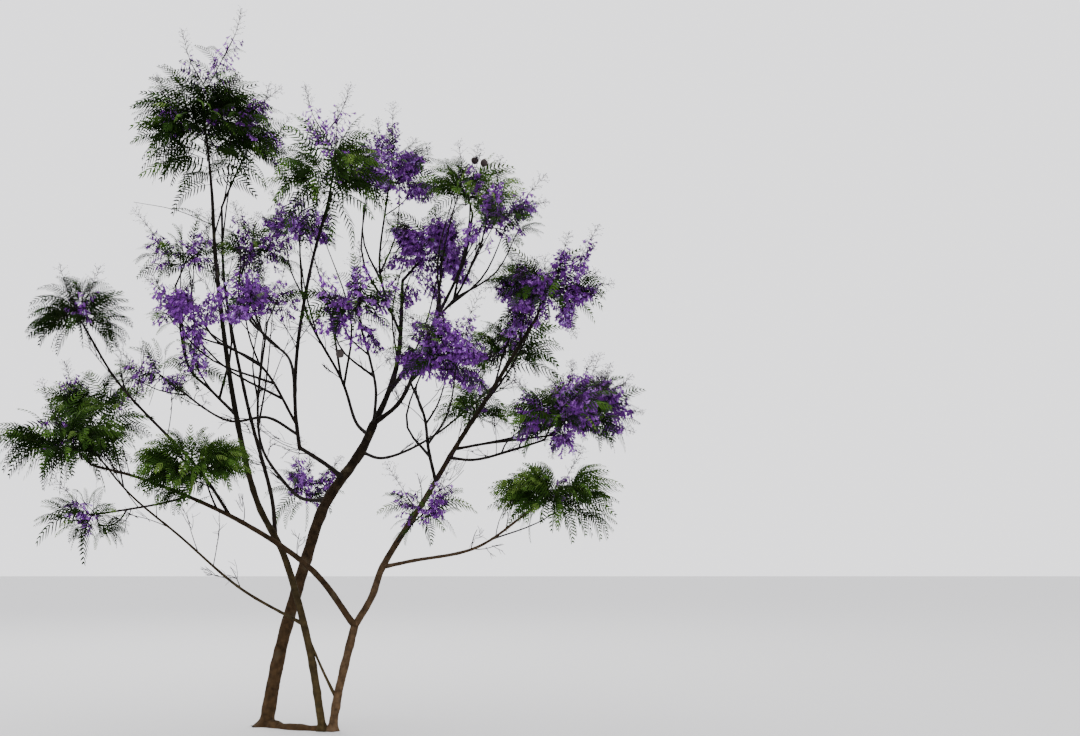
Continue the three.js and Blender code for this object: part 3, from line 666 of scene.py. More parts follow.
def ring_faces(rings, sides):
    """Triangles of a tube whose vertices come ring by ring, with its end points last."""
    ring = np.arange(rings - 1)[:, None] * sides
    side = np.arange(sides)[None, :]
    after = (side + 1) % sides
    a, b, c, d = ring + side, ring + after, ring + sides + side, ring + sides + after
    faces = np.stack([np.stack([a, b, d], -1), np.stack([a, d, c], -1)], 2).reshape(-1, 3)
    side, after = side[0], after[0]
    last = (rings - 1) * sides
    start = np.stack([np.full(sides, rings * sides), after, side], -1)
    end = np.stack([np.full(sides, rings * sides + 1), last + side, last + after], -1)
    return np.concatenate([faces, start, end])


def transported_frames(tangents):
    """Two side directions for each tangent that turn as little as possible along the line."""
    side, _ = cross_directions(tangents[0])
    sides = []
    for tangent in tangents:
        side = unit(side - tangent * np.dot(side, tangent))
        sides.append(side)
    sides = np.array(sides)
    return sides, np.cross(tangents, sides)


def tube(line, radii, sides, relief=None):
    """A tube along a line, closed at both ends. relief moves its skin out, ring by ring."""
    line = np.asarray(line, float)
    first, second = transported_frames(unit(np.gradient(line, axis=0)))
    turn = turns(sides)
    around = first[:, None] * np.cos(turn)[:, None] + second[:, None] * np.sin(turn)[:, None]
    reach = np.asarray(radii, float)[:, None] * np.ones(sides)
    if relief is not None:
        reach = relief(line, reach, turn, around)
    skin = (line[:, None] + around * reach[..., None]).reshape(-1, 3)
    return np.vstack([skin, line[0], line[-1]]), ring_faces(len(line), sides)


def spike_tube(line, radii):
    """A stalk of three sides that runs to a point, open at its foot, which its carrier hides."""
    vertices, faces = tube(line[:-1], radii[:-1], 3)
    last = len(vertices) - 5
    cap = [(last, last + 1, last + 3), (last + 1, last + 2, last + 3), (last + 2, last, last + 3)]
    return np.vstack([vertices[:-2], line[-1]]), np.vstack([faces[:6 * (len(line) - 2)], cap])


def twig_tube(batch, start, end, thick, sides=3, steps=1, bow=0.0, way=UP):
    """A thin tapering twig between two places, bowed a little to one side."""
    share = np.linspace(0, 1, steps + 1)
    line = start + (end - start) * share[:, None]
    line = line + way * (bow * np.sin(math.pi * share))[:, None]
    batch.add(*tube(line, blend(*thick, share) / 2, sides))


# ---- the bark's relief

def lattice_value(cell, seed):
    """A steady value from 0 to 1 for each cell of a lattice."""
    x, y, z = (cell[..., k].astype(np.int64) for k in range(3))
    n = (x * 73856093) ^ (y * 19349663) ^ (z * 83492791) ^ (seed * 2654435761)
    n = (n ^ (n >> 13)) * 1274126177 & 0x7FFFFFFF
    return ((n ^ (n >> 16)) & 0xFFFF) / 65535


def noise(places, size, seed):
    """Smooth noise from -1 to 1 with lumps of the given size."""
    scaled = places / size
    cell = np.floor(scaled)
    part = scaled - cell
    part = part * part * (3 - 2 * part)
    total = 0
    for corner in np.ndindex(2, 2, 2):
        weight = np.prod(np.where(corner, part, 1 - part), axis=-1)
        total = total + weight * lattice_value(cell + corner, seed)
    return 2 * total - 1


def bark_relief(seed, foot=None):
    """The relief of one limb: slow lumps, long fissures and fine grain, and lobes at its foot."""
    def relief(line, reach, turn, around):
        skin = line[:, None] + around * reach[..., None]
        # fissures follow the limb: the noise is read on a cylinder with a long axis
        flat = np.stack([reach * np.cos(turn), reach * np.sin(turn),
                         distances(line)[:, None] * np.ones(len(turn)) / FISSURE_STRETCH], -1)
        lumps = sum(noise(skin, size, seed + k) * depth * reach
                    for k, (size, depth) in enumerate(LUMPS))
        fissure = -np.abs(noise(flat, FISSURE_SIZE, seed + 2)) * FISSURE_DEPTH + FISSURE_LIFT
        fine = noise(skin, GRAIN_SIZE, seed + 3) * GRAIN_DEPTH
        coarse = np.clip(reach / FULL_RELIEF_RADIUS, LEAST_RELIEF, 1)
        shaped = reach + lumps + (fissure + fine) * coarse
        if foot is not None:
            down = np.clip(1 - skin[..., 2] / FLARE_TOP, 0, 1)
            lobe = 1 + FLARE_LOBE_DEPTH * np.cos(FLARE_LOBES * turn + foot)
            shaped = shaped * (1 + FLARE_SPREAD * lobe * down ** 2)
        return shaped
    return relief


# ---- the limbs

def grow_curves():
    curves = {}
    for name, parent, start, _, via in LIMBS:
        foot = (*start, 0) if parent is None else curves[parent].at_height(start)
        curves[name] = Curve([foot, *via])
    return curves


def add_above_ground(batch, vertices, faces):
    vertices[:, 2] = np.maximum(vertices[:, 2], 0)
    batch.add(vertices, faces)


def limb_piece(batch, index, curves):
    """One limb with its bark, with a collar where it leaves its parent and knots on its way."""
    name, parent, start, thick, _ = LIMBS[index]
    curve = curves[name]
    sides, spacing = next(fine for above, *fine in TUBE_FINENESS if thick[0] / 2 > above)
    share = np.linspace(0, 1, max(LEAST_RINGS, round(curve.length / spacing)) + 1)
    line = curve.point(share)
    radii = blend(*thick, share) / 2
    run = share * curve.length
    if parent is not None:
        at = curves[parent].share_at_height(start)
        room = blend(*THICK_OF[parent], at) / 2
        swell = min(1 + COLLAR, max(1, COLLAR_MOST * room / radii[0]))
        reach = room + COLLAR_REACH * thick[0]
        radii = radii * (1 + (swell - 1) * np.exp(-((run / reach) ** 2)))
        # the first stretch lies inside the carrier and turns out of it
        back = min(at, ROOTED * room / curves[parent].length)
        inner = [curves[parent].point(at - back * k / 3) for k in (3, 2, 1)]
        lead = Curve([*inner, curve.point(0.0), curve.point(min(1, 2 * room / curve.length))])
        cut = max(2, int(np.searchsorted(run, 2 * room)))
        line = np.vstack([lead.point(np.linspace(0, 1, cut + 4))[:-1], line[cut:]])
        first = min(radii[0], COLLAR_MOST * room)
        radii = np.concatenate([np.linspace(first, radii[cut], len(line) - len(radii) + cut),
                                radii[cut:]])
        run = distances(line)
    rng = np.random.default_rng(KNOT_SEED + index)
    place = rng.uniform(*KNOT_SPACING)
    while place < curve.length - KNOT_FREE_END:
        swell = rng.uniform(*KNOT_SWELL)
        reach = KNOT_REACH * thick[0] / 2 + KNOT_REACH_MORE
        radii = radii * (1 + swell * np.exp(-((run - place) / reach) ** 2))
        place += rng.uniform(*KNOT_SPACING)
    foot = None
    if parent is None:
        foot = float(index)
        down = np.arange(BELOW_GROUND, 0, -spacing)[:, None]
        line = np.vstack([line[0] - curve.tangent(0.0) * down, line])
        radii = np.concatenate([np.full(len(down), radii[0]), radii])
    relief = bark_relief(RELIEF_SEED + RELIEF_SEED_STEP * index, foot)
    add_above_ground(batch, *tube(line, radii, sides, relief))


def ridge_piece(batch, curves):
    """The half-buried root between the left trunk and the two inner stems."""
    route = Curve([curves["left_trunk"].point(0.0), RIDGE_BEND, curves["right_stem"].point(0.0)])
    share = np.linspace(0, 1, RIDGE_RINGS)
    waves = sum((deep * np.sin(often * share + late) for deep, often, late in RIDGE_WAVES), 1)
    radii = blend(*RIDGE_THICK, share) / 2 * waves
    sides = TUBE_FINENESS[0][1]
    add_above_ground(batch, *tube(route.point(share), radii, sides, bark_relief(RIDGE_SEED)))


def limb_points(curves):
    """Points along every limb's middle with the radius there, to keep foliage clear of them."""
    places, radii = [], []
    for name, thick in THICK_OF.items():
        share = np.linspace(0, 1, math.ceil(curves[name].length / LIMB_SAMPLE) + 1)
        places.append(curves[name].point(share))
        radii.append(blend(*thick, share) / 2)
    return np.vstack(places), np.concatenate(radii)


# ---- leaves

def blade(root, along, length, width, thick):
    """A straight flat shape from a root, for a leaf or for the room of a twig."""
    side, normal = cross_directions(along)
    return {"root": root, "along": along, "side": side, "normal": normal,
            "length": length, "width": width, "thick": thick}


def leaf_blade(root, along, length):
    return blade(root, along, length, length * LEAF_WIDTH_SHARE, LEAF_THICK)


def roll(leaf, rng):
    """Rolls a leaf a little about its length, to one side or the other."""
    angle = rng.uniform(*FAN_ROLL) * rng.choice((-1, 1))
    along = leaf["along"]
    leaf["side"], leaf["normal"] = (rotated(way, along, angle) for way in cross_directions(along))


def leaf_pattern(seed):
    """One leaf of length 1 along +Y, its upper side towards +Z: vertices and faces of the pinnae
    near the stalk and of those near the tip."""
    rng = np.random.default_rng(seed)
    parts = Batch(), Batch()
    steps = PINNA_STEPS
    share = np.linspace(0, 1, steps + 1)
    node = 2 * np.arange(steps - 1)
    faces = np.vstack([
        np.stack([node, node + 1, node + 3], -1),
        np.stack([node, node + 3, node + 2], -1),
        [(2 * steps - 2, 2 * steps - 1, 2 * steps)],
    ])
    tooth = LEAFLET_TOOTH * (-1.0) ** np.arange(steps)
    width = PINNA_WIDTH * np.array(PINNA_TAPER)
    for pair in range(PINNA_PAIRS):
        place = blend(PINNA_FIRST, PINNA_LAST, pair / (PINNA_PAIRS - 1))
        reach = PINNA_LENGTH * (1 - ((place - PINNA_WIDEST_AT) / PINNA_FALL) ** 2)
        angle = blend(*PINNA_ANGLE, place) + rng.uniform(*PINNA_SPREAD)
        shift = rng.uniform(*PINNA_SHIFT)
        for sign in (-1, 1):
            length = reach * rng.uniform(*PINNA_UNEVEN)
            hang = PINNA_HANG + rng.uniform(*PINNA_HANG_SPREAD)
            bend = angle - PINNA_CURL * share
            out, up = (np.concatenate([[0], np.cumsum(part(bend[1:]))]) * length / steps
                       for part in (np.sin, np.cos))
            flat = out / math.hypot(1, hang)
            rib = np.stack([sign * flat, place + shift + up, -hang * flat - out ** 2], -1)
            beside = unit(np.cross(np.gradient(rib, axis=0), UP))[:-1]
            edges = np.stack([
                rib[:-1] + beside * (width * (1 + tooth))[:, None],
                rib[:-1] - beside * (width * (1 - tooth))[:, None],
            ], 1).reshape(-1, 3)
            parts[pair >= TIP_FROM].add(np.vstack([edges, rib[-1]]), faces)
    return [(np.concatenate(part.vertices), np.concatenate(part.faces)) for part in parts]


def placed_leaf(vertices, leaf):
    """A pattern's vertices laid along a leaf, which arches up from its root and droops at its
    tip."""
    along, side = leaf["along"], leaf["side"]
    up = UP - along * along[2]
    upness = np.linalg.norm(up)
    up = up / upness if upness > LEAST_UPNESS else leaf["normal"]
    normal = unit(np.cross(side, along))
    if normal @ up < 0:
        normal = -normal
    hang = 1 - along[2] ** 2
    way = vertices[:, 1]
    arch = leaf["arch"] * 4 * way * (1 - way) - LEAF_TIP_DROP * way ** 3
    return leaf["root"] + leaf["length"] * (
        vertices[:, :1] * side + vertices[:, 1:2] * along
        + vertices[:, 2:] * normal * hang + arch[:, None] * up
    )


# ---- blossom

def flower_pattern(seed):
    """A trumpet flower from its base at the origin along +Z, a little bent, with five lobes."""
    rng = np.random.default_rng(seed)
    sides = FLOWER_SIDES
    turn = turns(sides)
    up, radius = FLOWER_THROAT
    throat = np.stack([radius * np.cos(turn) + FLOWER_BEND,
                       radius * THROAT_FLATNESS * np.sin(turn),
                       np.full(sides, float(up))], -1)
    lobes, faces, base = [], [], 3 * sides
    up, radius = FLOWER_LOBE
    for k in range(sides):
        for share in LOBE_CORNERS:
            angle = turn[k] + share * 2 * math.pi / sides
            out = radius * rng.uniform(*LOBE_REACH)
            lobes.append((out * math.cos(angle) + LOBE_BEND, out * math.sin(angle),
                          up + rng.uniform(*LOBE_LIFT)))
        after, lobe = (k + 1) % sides, sides + 2 * k
        faces += [(base, after, k), (k, after, lobe + 1), (k, lobe + 1, lobe)]
    return np.vstack([throat, lobes, (0, 0, 0)]), np.array(faces)


def bud_pattern():
    """A small closed bud of three sides, longer than wide, and the open cone of a calyx."""
    turn = turns(3)
    ring = np.stack([np.cos(turn), np.sin(turn), 0 * turn], -1)
    bud = np.vstack([ring, (0, 0, 2)]), np.array([(0, 1, 3), (1, 2, 3), (2, 0, 3)])
    cone = np.vstack([ring + (0, 0, 1), (0, 0, 0)]), np.array([(1, 0, 3), (2, 1, 3), (0, 2, 3)])
    return bud, cone


def turned_to(way, spin=0.0):
    """A rotation matrix whose third column is the given direction."""
    way = unit(way)
    side, normal = cross_directions(way)
    return np.stack([
        side * math.cos(spin) + normal * math.sin(spin),
        normal * math.cos(spin) - side * math.sin(spin),
        way,
    ], -1)


def in_box(place):
    """Whether a place is inside the solids' box or only a little outside it."""
    low, high = (np.array(corner) / TO_METRES for corner in cad_box)
    return bool(np.all(place > low - ROOM_BEYOND) and np.all(place < high + ROOM_BEYOND))


class Foliage:
    """All that grows on the limbs: a batch for each piece, and the random numbers in use."""

    def __init__(self):
        self.parts = {name: Batch() for name in FOLIAGE_LOOKS}
        self.twigs, self.stalks = self.parts["twigs"], self.parts["flower_stalks"]
        self.patterns = [leaf_pattern(LEAF_SEED + k) for k in range(LEAF_PATTERNS)]
        self.flowers = [flower_pattern(FLOWER_SEED + k) for k in range(FLOWER_PATTERNS)]
        self.bud, self.calyx = bud_pattern()
        self.rng = None

    def reseed(self, seed):
        self.rng = np.random.default_rng(seed)
        return self.rng

    def spine(self, start, end, thick):
        """A very thin stalk of three faces."""
        side, normal = cross_directions(unit(end - start))
        turn = turns(3)[:, None]
        foot = start + (side * np.cos(turn) + normal * np.sin(turn)) * thick / 2
        self.stalks.add(np.vstack([foot, end]), [(0, 1, 3), (1, 2, 3), (2, 0, 3)])

    def small_part(self, pattern, size, place, way):
        """A bud or a calyx, which share a piece."""
        vertices, faces = pattern
        shape = vertices * size
        self.parts["calyxes_and_buds"].add(place + shape @ turned_to(way).T, faces)

    def bud_at(self, place, way, size):
        self.small_part(self.bud, (size * 0.34, size * 0.34, size * 0.45), place, way)

    def flower(self, place, way, colour):
        """One flower with the dark calyx that holds it."""
        vertices, faces = self.flowers[self.rng.integers(FLOWER_PATTERNS)]
        matrix = turned_to(way, self.rng.uniform(0, 2 * math.pi)) * self.rng.uniform(*FLOWER_SIZE)
        self.parts[colour].add(place + vertices @ matrix.T, faces)
        self.small_part(self.calyx, CALYX_SIZE, place, way)

    def flower_branch(self, start, way, length, flowers, colours, height=0.5):
        """A side branch of a panicle with hanging flowers: low ones droop and high ones rise."""
        end = start + way * length
        end[2] += blend(*FLOWER_BRANCH_RISE, height) * length
        if not in_box(end):
            return
        bow = FLOWER_BRANCH_BOW * length
        share = np.linspace(0, 1, 3)
        line = blend(start, end, share[:, None]) + DOWN * bow * np.sin(math.pi * share)[:, None]
        self.stalks.add(*spike_tube(line, np.full(3, FLOWER_STALK_RADIUS)))
        side, normal = cross_directions(way)
        for k in range(flowers):
            share = 1 - FLOWERING_SHARE * k / flowers
            place = blend(start, end, share) + DOWN * bow * math.sin(math.pi * share)
            turn = GOLDEN_ANGLE * k * 2 + self.rng.uniform(0, 1)
            out = way * 0.8 + side * math.cos(turn) * 0.9 + normal * math.sin(turn) * 0.6
            out = unit(out + DOWN * FLOWER_DROOP)
            nod = unit(out + DOWN * FLOWER_NOD + self.rng.normal(0, FLOWER_SPREAD, 3))
            # painted shade and light: flowers near the axis darker, those at a branch end lighter
            tone = (1 - TONE_BY_PLACE) * self.rng.random() + TONE_BY_PLACE * share
            self.flower(place, nod, colours[int(tone * len(colours))])

    def bud_branch(self, start, way, reach):
        """A thin branch with a few buds at short forks."""
        end = start + way * reach
        end[2] += BUD_BRANCH_RISE * reach
        if not in_box(end):
            return
        self.spine(start, end, SPINE_THICK[0])
        for k in range(BUDS_ON_BRANCH):
            place = blend(start, end, 1 - BUD_SPACING * k)
            out = unit(way + sideways(way, GOLDEN_ANGLE * k * 2))
            base = place + out * self.rng.uniform(*BUD_FORK)
            self.spine(place, base, SPINE_THICK[1])
            self.bud_at(base, out, self.rng.uniform(*BUD_SIZE))

    def whorl_ways(self, axis, count, twist):
        """The sideways directions of a whorl's branches, one after the other."""
        for k in range(count):
            turn = 2 * math.pi * k / count + twist + self.rng.uniform(*WHORL_SPREAD)
            yield sideways(axis, turn)

    def panicle(self, tip, along, length, bloom):
        """A panicle: whorls of branches, open flowers below and buds at the top."""
        rng, along = self.rng, unit(along)
        stretch = BUD_STRETCH if in_box(tip + along * length * (1 + BUD_STRETCH)) else 0
        end = tip + along * length * (1 + stretch)
        twig_tube(self.stalks, tip, end, PANICLE_THICK, sides=4, steps=3)
        tone = int(rng.integers(2))
        colours = [BLOSSOM[k] for k in (0, 0, 1, 1, 1, 1, tone + 1, tone + 1, 2, tone + 2)]
        for level in range(PANICLE_LEVELS):
            share = level / (PANICLE_LEVELS - 1)
            start = tip + along * length * blend(*LEVEL_SHARES, share)
            angle = blend(*BRANCH_ANGLE, share)
            for out in self.whorl_ways(along, PANICLE_WHORL, PANICLE_TWIST * level):
                way = unit(along * math.cos(angle) + out * math.sin(angle))
                reach = length * blend(*BRANCH_SHARES, share) * rng.uniform(*BRANCH_SPREAD)
                in_bud = share > OPEN_SHARE * blend(*OPEN_BY_BLOOM, bloom)
                if in_bud or rng.random() > blend(*BRANCHES_BY_BLOOM, bloom):
                    self.bud_branch(start, way, reach * IN_BUD_REACH)
                    continue
                most = blend(*FLOWERS_ON_BRANCH, share) * blend(*FLOWERS_BY_BLOOM, bloom)
                flowers = max(1, round(most + rng.uniform(*FLOWERS_SPREAD)))
                self.flower_branch(start, way, reach, flowers, colours, share)
        for level in range(BUD_LEVELS if stretch else 0):
            share = level / BUD_LEVELS
            start = tip + along * length * (1 + stretch * share)
            for out in self.whorl_ways(along, 2, BUD_TWIST * level):
                reach = length * blend(*BUD_BRANCH, share) * rng.uniform(*BUD_BRANCH_SPREAD)
                self.bud_branch(start, unit(along * BUD_BRANCH_LEAN + out), reach)
        self.bud_at(end, along, BUD_SIZE[1])

    def spike(self, root, tip, along, length):
        """A slender spike: short whorls along a tall shoot, in flower below and in bud above."""
        line = Curve([blend(root, tip, SPIKE_FROM), tip, tip + unit(along) * length])
        share = np.linspace(0, 1, 9)
        self.stalks.add(*tube(line.point(share), blend(*SPIKE_THICK, share), 5))
        tone = int(self.rng.integers(2))
        for level in range(SPIKE_LEVELS):
            share = level / SPIKE_LEVELS
            start, way = line.point(share), line.tangent(share)
            tilt = blend(*SPIKE_TILT, share)
            for out in self.whorl_ways(way, 3, SPIKE_TWIST * level):
                branch = unit(way * math.cos(tilt) + out * math.sin(tilt))
                reach = blend(*SPIKE_BRANCH, share) * self.rng.uniform(*SPIKE_SPREAD)
                if share < SPIKE_OPEN[1]:
                    flowers = 3 if share < SPIKE_OPEN[0] else 2
                    self.flower_branch(start, branch, reach, flowers, BLOSSOM[tone:tone + 2])
                else:
                    self.bud_branch(start, branch, reach)
        self.bud_at(line.point(1.0), line.tangent(1.0), BUD_SIZE[1])

    def leaf(self, leaf, tone):
        """One leaf: its stalk and its pinnae, the ones at the tip in their own colour."""
        leaf["arch"] = self.rng.uniform(*LEAF_ARCH)
        pattern = self.patterns[self.rng.integers(LEAF_PATTERNS)]
        for (vertices, faces), colour in zip(pattern, tone):
            self.parts[colour].add(placed_leaf(vertices, leaf), faces)
        share = np.linspace(0, 1, RACHIS_STEPS + 1)
        line = placed_leaf(np.stack([0 * share, share, 0 * share], -1), leaf)
        self.parts["leaf_stalks"].add(*spike_tube(line, blend(*RACHIS_THICK, share) / 2))

    def pod(self, tip, turn, seed):
        """A flat round pod with a wavy rim, on its stalk."""
        away = unit([math.cos(turn), math.sin(turn), -POD_DROP])
        middle = tip + away * (POD_STALK + POD_SIZE / 2)
        twig_tube(self.twigs, tip, middle - away * POD_SIZE * POD_HELD_AT, POD_TWIG_THICK, sides=5,
                  steps=3, bow=6)
        angle = turns(POD_SIDES)
        uneven = np.random.default_rng(seed).normal(0, 1, POD_SIDES)
        radius = POD_SIZE / 2 * (1 + 0.05 * np.sin(3 * angle + 1) + 0.03 * uneven)
        across = unit(np.cross(away, (0.3 * math.cos(turn), 1, 0.3)))
        over = np.cross(away, across)
        around = away * np.cos(angle)[:, None] + across * np.sin(angle)[:, None]
        wave = 2.2 * np.sin(2 * angle + 0.6)
        rings = [middle + around * (radius * share)[:, None]
                 + over * (lift * POD_THICK / 2 * 0.8 + wave * share ** 2)[:, None]
                 for share, lift in POD_PROFILE]
        ends = [middle + over * POD_THICK / 2 * side for side in (0.85, -0.85)]
        self.parts["seed_pods"].add(np.vstack([*rings, *ends]), ring_faces(len(rings), POD_SIDES))

    def bare_twig(self, start, way, length, depth=0):
        """A thin dead twig with a fork or two."""
        end = start + way * length
        bend = sideways(way, length)
        twig_tube(self.twigs, start, end, DEAD_TWIG_THICK[depth], steps=4 - depth,
                  bow=DEAD_TWIG_BOW * length, way=bend)
        if depth < 2:
            for _ in range(3 - depth):
                share = self.rng.uniform(*DEAD_FORK_AT)
                fork = way + bend * self.rng.uniform(*DEAD_FORK_LEAN)
                fork = unit(fork + self.rng.normal(0, DEAD_FORK_SPREAD, 3))
                self.bare_twig(blend(start, end, share), fork, length / 2, depth + 1)


# ---- the growth of the masses, as in the part's source and finer

class Mass:
    """One mass of foliage: its shoots by the source's rule, and what grows on them."""

    def __init__(self, index, curves, limbs, foliage):
        (self.name, limb, height, _, _, self.count, self.blooms, self.seed, self.spires,
         self.pods) = MASSES[index]
        (self.bloom, self.leafiness, self.light, self.side_twigs,
         self.limb_twigs) = MASS_LOOKS[self.name]
        self.index, self.limbs, self.foliage = index, limbs, foliage
        self.middle, self.half = MIDDLES[index], HALVES[index]
        self.curve, self.at_tip = curves[limb], height is None
        if self.at_tip:
            self.foot = self.curve.point(1.0) - self.curve.tangent(1.0) * STEM_SUNK
        else:
            self.foot = self.curve.at_height(height)
        self.foot_thick = THICK_OF[limb][1] if self.at_tip else STEM_THICK
        self.draw = seeded_numbers(self.seed)
        self.rng = foliage.reseed(self.seed)

    def high(self, place):
        return (place[2] - self.middle[2]) / self.half[2]

    def farness(self, place):
        return float(np.linalg.norm((place - self.middle) / self.half))

    def owns(self, place):
        """Whether a place is in the mass's space and not in another's."""
        far = np.linalg.norm((place - MIDDLES) / HALVES, axis=1)
        own = far[self.index]
        others = np.delete(far, self.index)
        return own < SPACE and bool(np.all(others > own + SPACE_MARGIN))

    def touches_limb(self, flat):
        places, radii = self.limbs
        offset = places - flat["root"]
        reach = radii + LIMB_CLEARANCE
        along = offset @ flat["along"]
        close = (along > -reach) & (along < flat["length"] + reach)
        close &= np.abs(offset @ flat["side"]) < flat["width"] / 2 + reach
        close &= np.abs(offset @ flat["normal"]) < flat["thick"] / 2 + reach
        return bool(close.any())

    def fits(self, leaf):
        middle = leaf["root"] + leaf["along"] * leaf["length"] / 2
        wing = leaf["side"] * leaf["width"] / 2
        tip = leaf["root"] + leaf["along"] * leaf["length"]
        corners = (leaf["root"], middle + wing, middle - wing, tip)
        return (in_box(tip) and all(self.owns(corner) for corner in corners)
                and not self.touches_limb(leaf))

    def keeps_off(self, start, end, thick, skipped=0):
        """Whether a twig keeps off the limbs, but for a first stretch that isn't looked at."""
        along = end - start
        length = float(np.linalg.norm(along))
        skipped = min(skipped, length / 3)
        return not self.touches_limb(blade(start + along / length * skipped, along / length,
                                           length - skipped, thick, thick))

    def cut(self, root, along, length):
        """A leaf's length, cut where it would leave the mass's space."""
        while length > LEAF_SHORTEST and self.farness(root + along * length) > SPACE:
            length -= LEAF_TRIM
        return length

    def fanned(self, root, along):
        """A leaf's direction: its own in part, and out from the middle of the mass, where high
        leaves rise more than low ones."""
        level = (root - self.middle) * (1, 1, 0)
        out = level / (np.linalg.norm(level) + FAN_CORE)
        out[2] = self.high(root)
        return unit(along * OWN_WAY + out + self.rng.normal(0, FAN_SPREAD, 3))

    def tone(self, leaf):
        """The colours of a leaf's inner and outer pinnae, as painted light and shade: darker
        within the mass and low in it, lighter high in it and at its outside.
        """
        tip = leaf["root"] + leaf["along"] * leaf["length"]
        out = self.farness(tip)
        # painted shade inside and low in the mass, painted light high in it and at its outside
        score = 0.45 * self.high(tip) + 0.5 * (out - 0.8) + self.light
        score += self.rng.normal(0, TONE_SPREAD)
        inner = sum(score >= step for step in TONE_STEPS)
        outer = min(3, inner + (score > LIGHT_TIP_FROM) + (self.rng.random() < LIGHT_TIP_CHANCE))
        return LEAVES[inner], LEAVES[outer]

    def add_leaf(self, root, along, length):
        """A leaf of the finer growth, shorter high in the mass, where there is room for it."""
        length *= 1 - HIGH_LEAF_CUT * min(1, max(0, self.high(root)) / HIGH_LEAF_FROM)
        leaf = leaf_blade(root, along, self.cut(root, along, length))
        roll(leaf, self.rng)
        if self.fits(leaf):
            self.foliage.leaf(leaf, self.tone(leaf))

    def grow_shoots(self):
        shoots, first = [], len(self.spires)
        for i in range(self.count):
            turn = GOLDEN_ANGLE * i + self.seed
            reach = blend(*SHOOT_REACH, next(self.draw))
            way = rising(turn, 1 - (1 - LOWEST_RISE) * (i + 0.5) / self.count)
            parting = blend(*PARTING, i / (self.count - 1))
            root = blend(self.foot, shoots[0]["tip"], parting) if i else self.foot
            shoots.append({"root": root, "tip": self.middle + self.half * reach * way,
                           "turn": turn, "blooms": first <= i < first + self.blooms,
                           "tall": False, "stem": i == 0})
        for i, offset in enumerate(self.spires):
            tip = self.middle + offset - UP * (PANICLE_LENGTH[1] / 2)
            shoots.append({"root": shoots[i]["tip"], "tip": tip, "turn": i,
                           "blooms": True, "tall": True, "stem": False})
        return shoots

    def shoot_leaves(self, shoot):
        """The leaves that the source has on a shoot."""
        axis = shoot["tip"] - shoot["root"]
        span = np.linalg.norm(axis)
        run = min(LEAF_RUN, LEAF_RUN_SHARE * span)
        axis = axis / span
        leaves = []
        for k in range(LEAVES_PER_SHOOT):
            lean = blend(*LEAF_LEAN, next(self.draw))
            length = blend(*LEAF_LENGTH, next(self.draw))
            next(self.draw)  # the source's roll, which these leaves don't take
            below = run * blend(LEAF_FIRST, 1, k / (LEAVES_PER_SHOOT - 1))
            root = shoot["tip"] - axis * below
            along = leaning(axis, lean, LEAF_TURN * k + shoot["turn"])
            along[2] -= LEAF_DROOP
            along = unit(along)
            leaf = leaf_blade(root, along, self.cut(root, along, length))
            leaf["share"] = 1 - below / span
            leaves.append(leaf)
        return leaves

    def whorl(self, start, end):
        """Leaves round the outer part of a finer twig, lifted towards the light."""
        axis = end - start
        span = float(np.linalg.norm(axis))
        axis = axis / span
        spin = self.rng.uniform(0, 2 * math.pi)
        count = max(1, round(LEAVES_PER_TWIG * self.leafiness))
        for k in range(count):
            lean = self.rng.uniform(*TWIG_LEAF_LEAN)
            root = end - axis * min(WHORL_RUN, 0.8 * span) * k / count
            along = self.fanned(root, leaning(axis, lean, LEAF_TURN * k + spin))
            self.add_leaf(root, along, self.rng.uniform(*LEAF_LENGTH) * TWIG_LEAF_SHARE)

    def grow_stem_leaves(self, shoot, bent):
        """Leaves along the stem or a tall shoot of a leafy mass, which droop near its foot and
        rise near its tip."""
        axis = shoot["tip"] - shoot["root"]
        low, high = TALL_LEAVES if shoot["tall"] else STEM_LEAVES
        count = round(np.linalg.norm(axis) * (high - low) / STEM_LEAF_SPACING)
        axis = unit(axis)
        for k in range(count):
            share = blend(low, high, (k + self.rng.uniform(0, 1)) / count)
            out = sideways(axis, GOLDEN_ANGLE * k + shoot["turn"])
            out = out + axis * blend(*STEM_LEAF_RISE, share) + self.rng.normal(0, FAN_SPREAD, 3)
            root = blend(shoot["root"], shoot["tip"], share) + bent * math.sin(math.pi * share)
            most = 1 - TALL_LEAF_SHARE * share if shoot["tall"] else 1
            self.add_leaf(root, unit(out), self.rng.uniform(*STEM_LEAF_LENGTH) * most)

    def grow_side_twig(self, shoot, length):
        """A finer twig from a shoot, with a whorl of leaves and, where the shoot blooms, a
        panicle."""
        axis = unit(shoot["tip"] - shoot["root"])
        outward = shoot["tip"] - self.middle
        outward = outward / (np.linalg.norm(outward) + 1)
        start = blend(shoot["root"], shoot["tip"], self.rng.uniform(*SIDE_TWIG_FROM))
        for _ in range(SIDE_TWIG_TRIES):
            side = sideways(axis, self.rng.uniform(0, 2 * math.pi))
            way = unit(axis * 0.5 + side + outward * 0.4 + UP * 0.45)
            end = start + way * self.rng.uniform(*SIDE_TWIG_LENGTH)
            if not (self.owns(end) and self.keeps_off(start, end, SIDE_TWIG_ROOM, SIDE_TWIG_FREE)):
                continue
            twig_tube(self.foliage.twigs, start, end, SIDE_TWIG_THICK, sides=5, steps=3, bow=10,
                      way=DOWN)
            self.whorl(start, end)
            if shoot["blooms"] and self.bloom >= FULL_BLOOM:
                out = way + UP * self.rng.uniform(*SIDE_PANICLE_RISE)
                self.foliage.panicle(end, out, length * SIDE_PANICLE, self.bloom)
            return

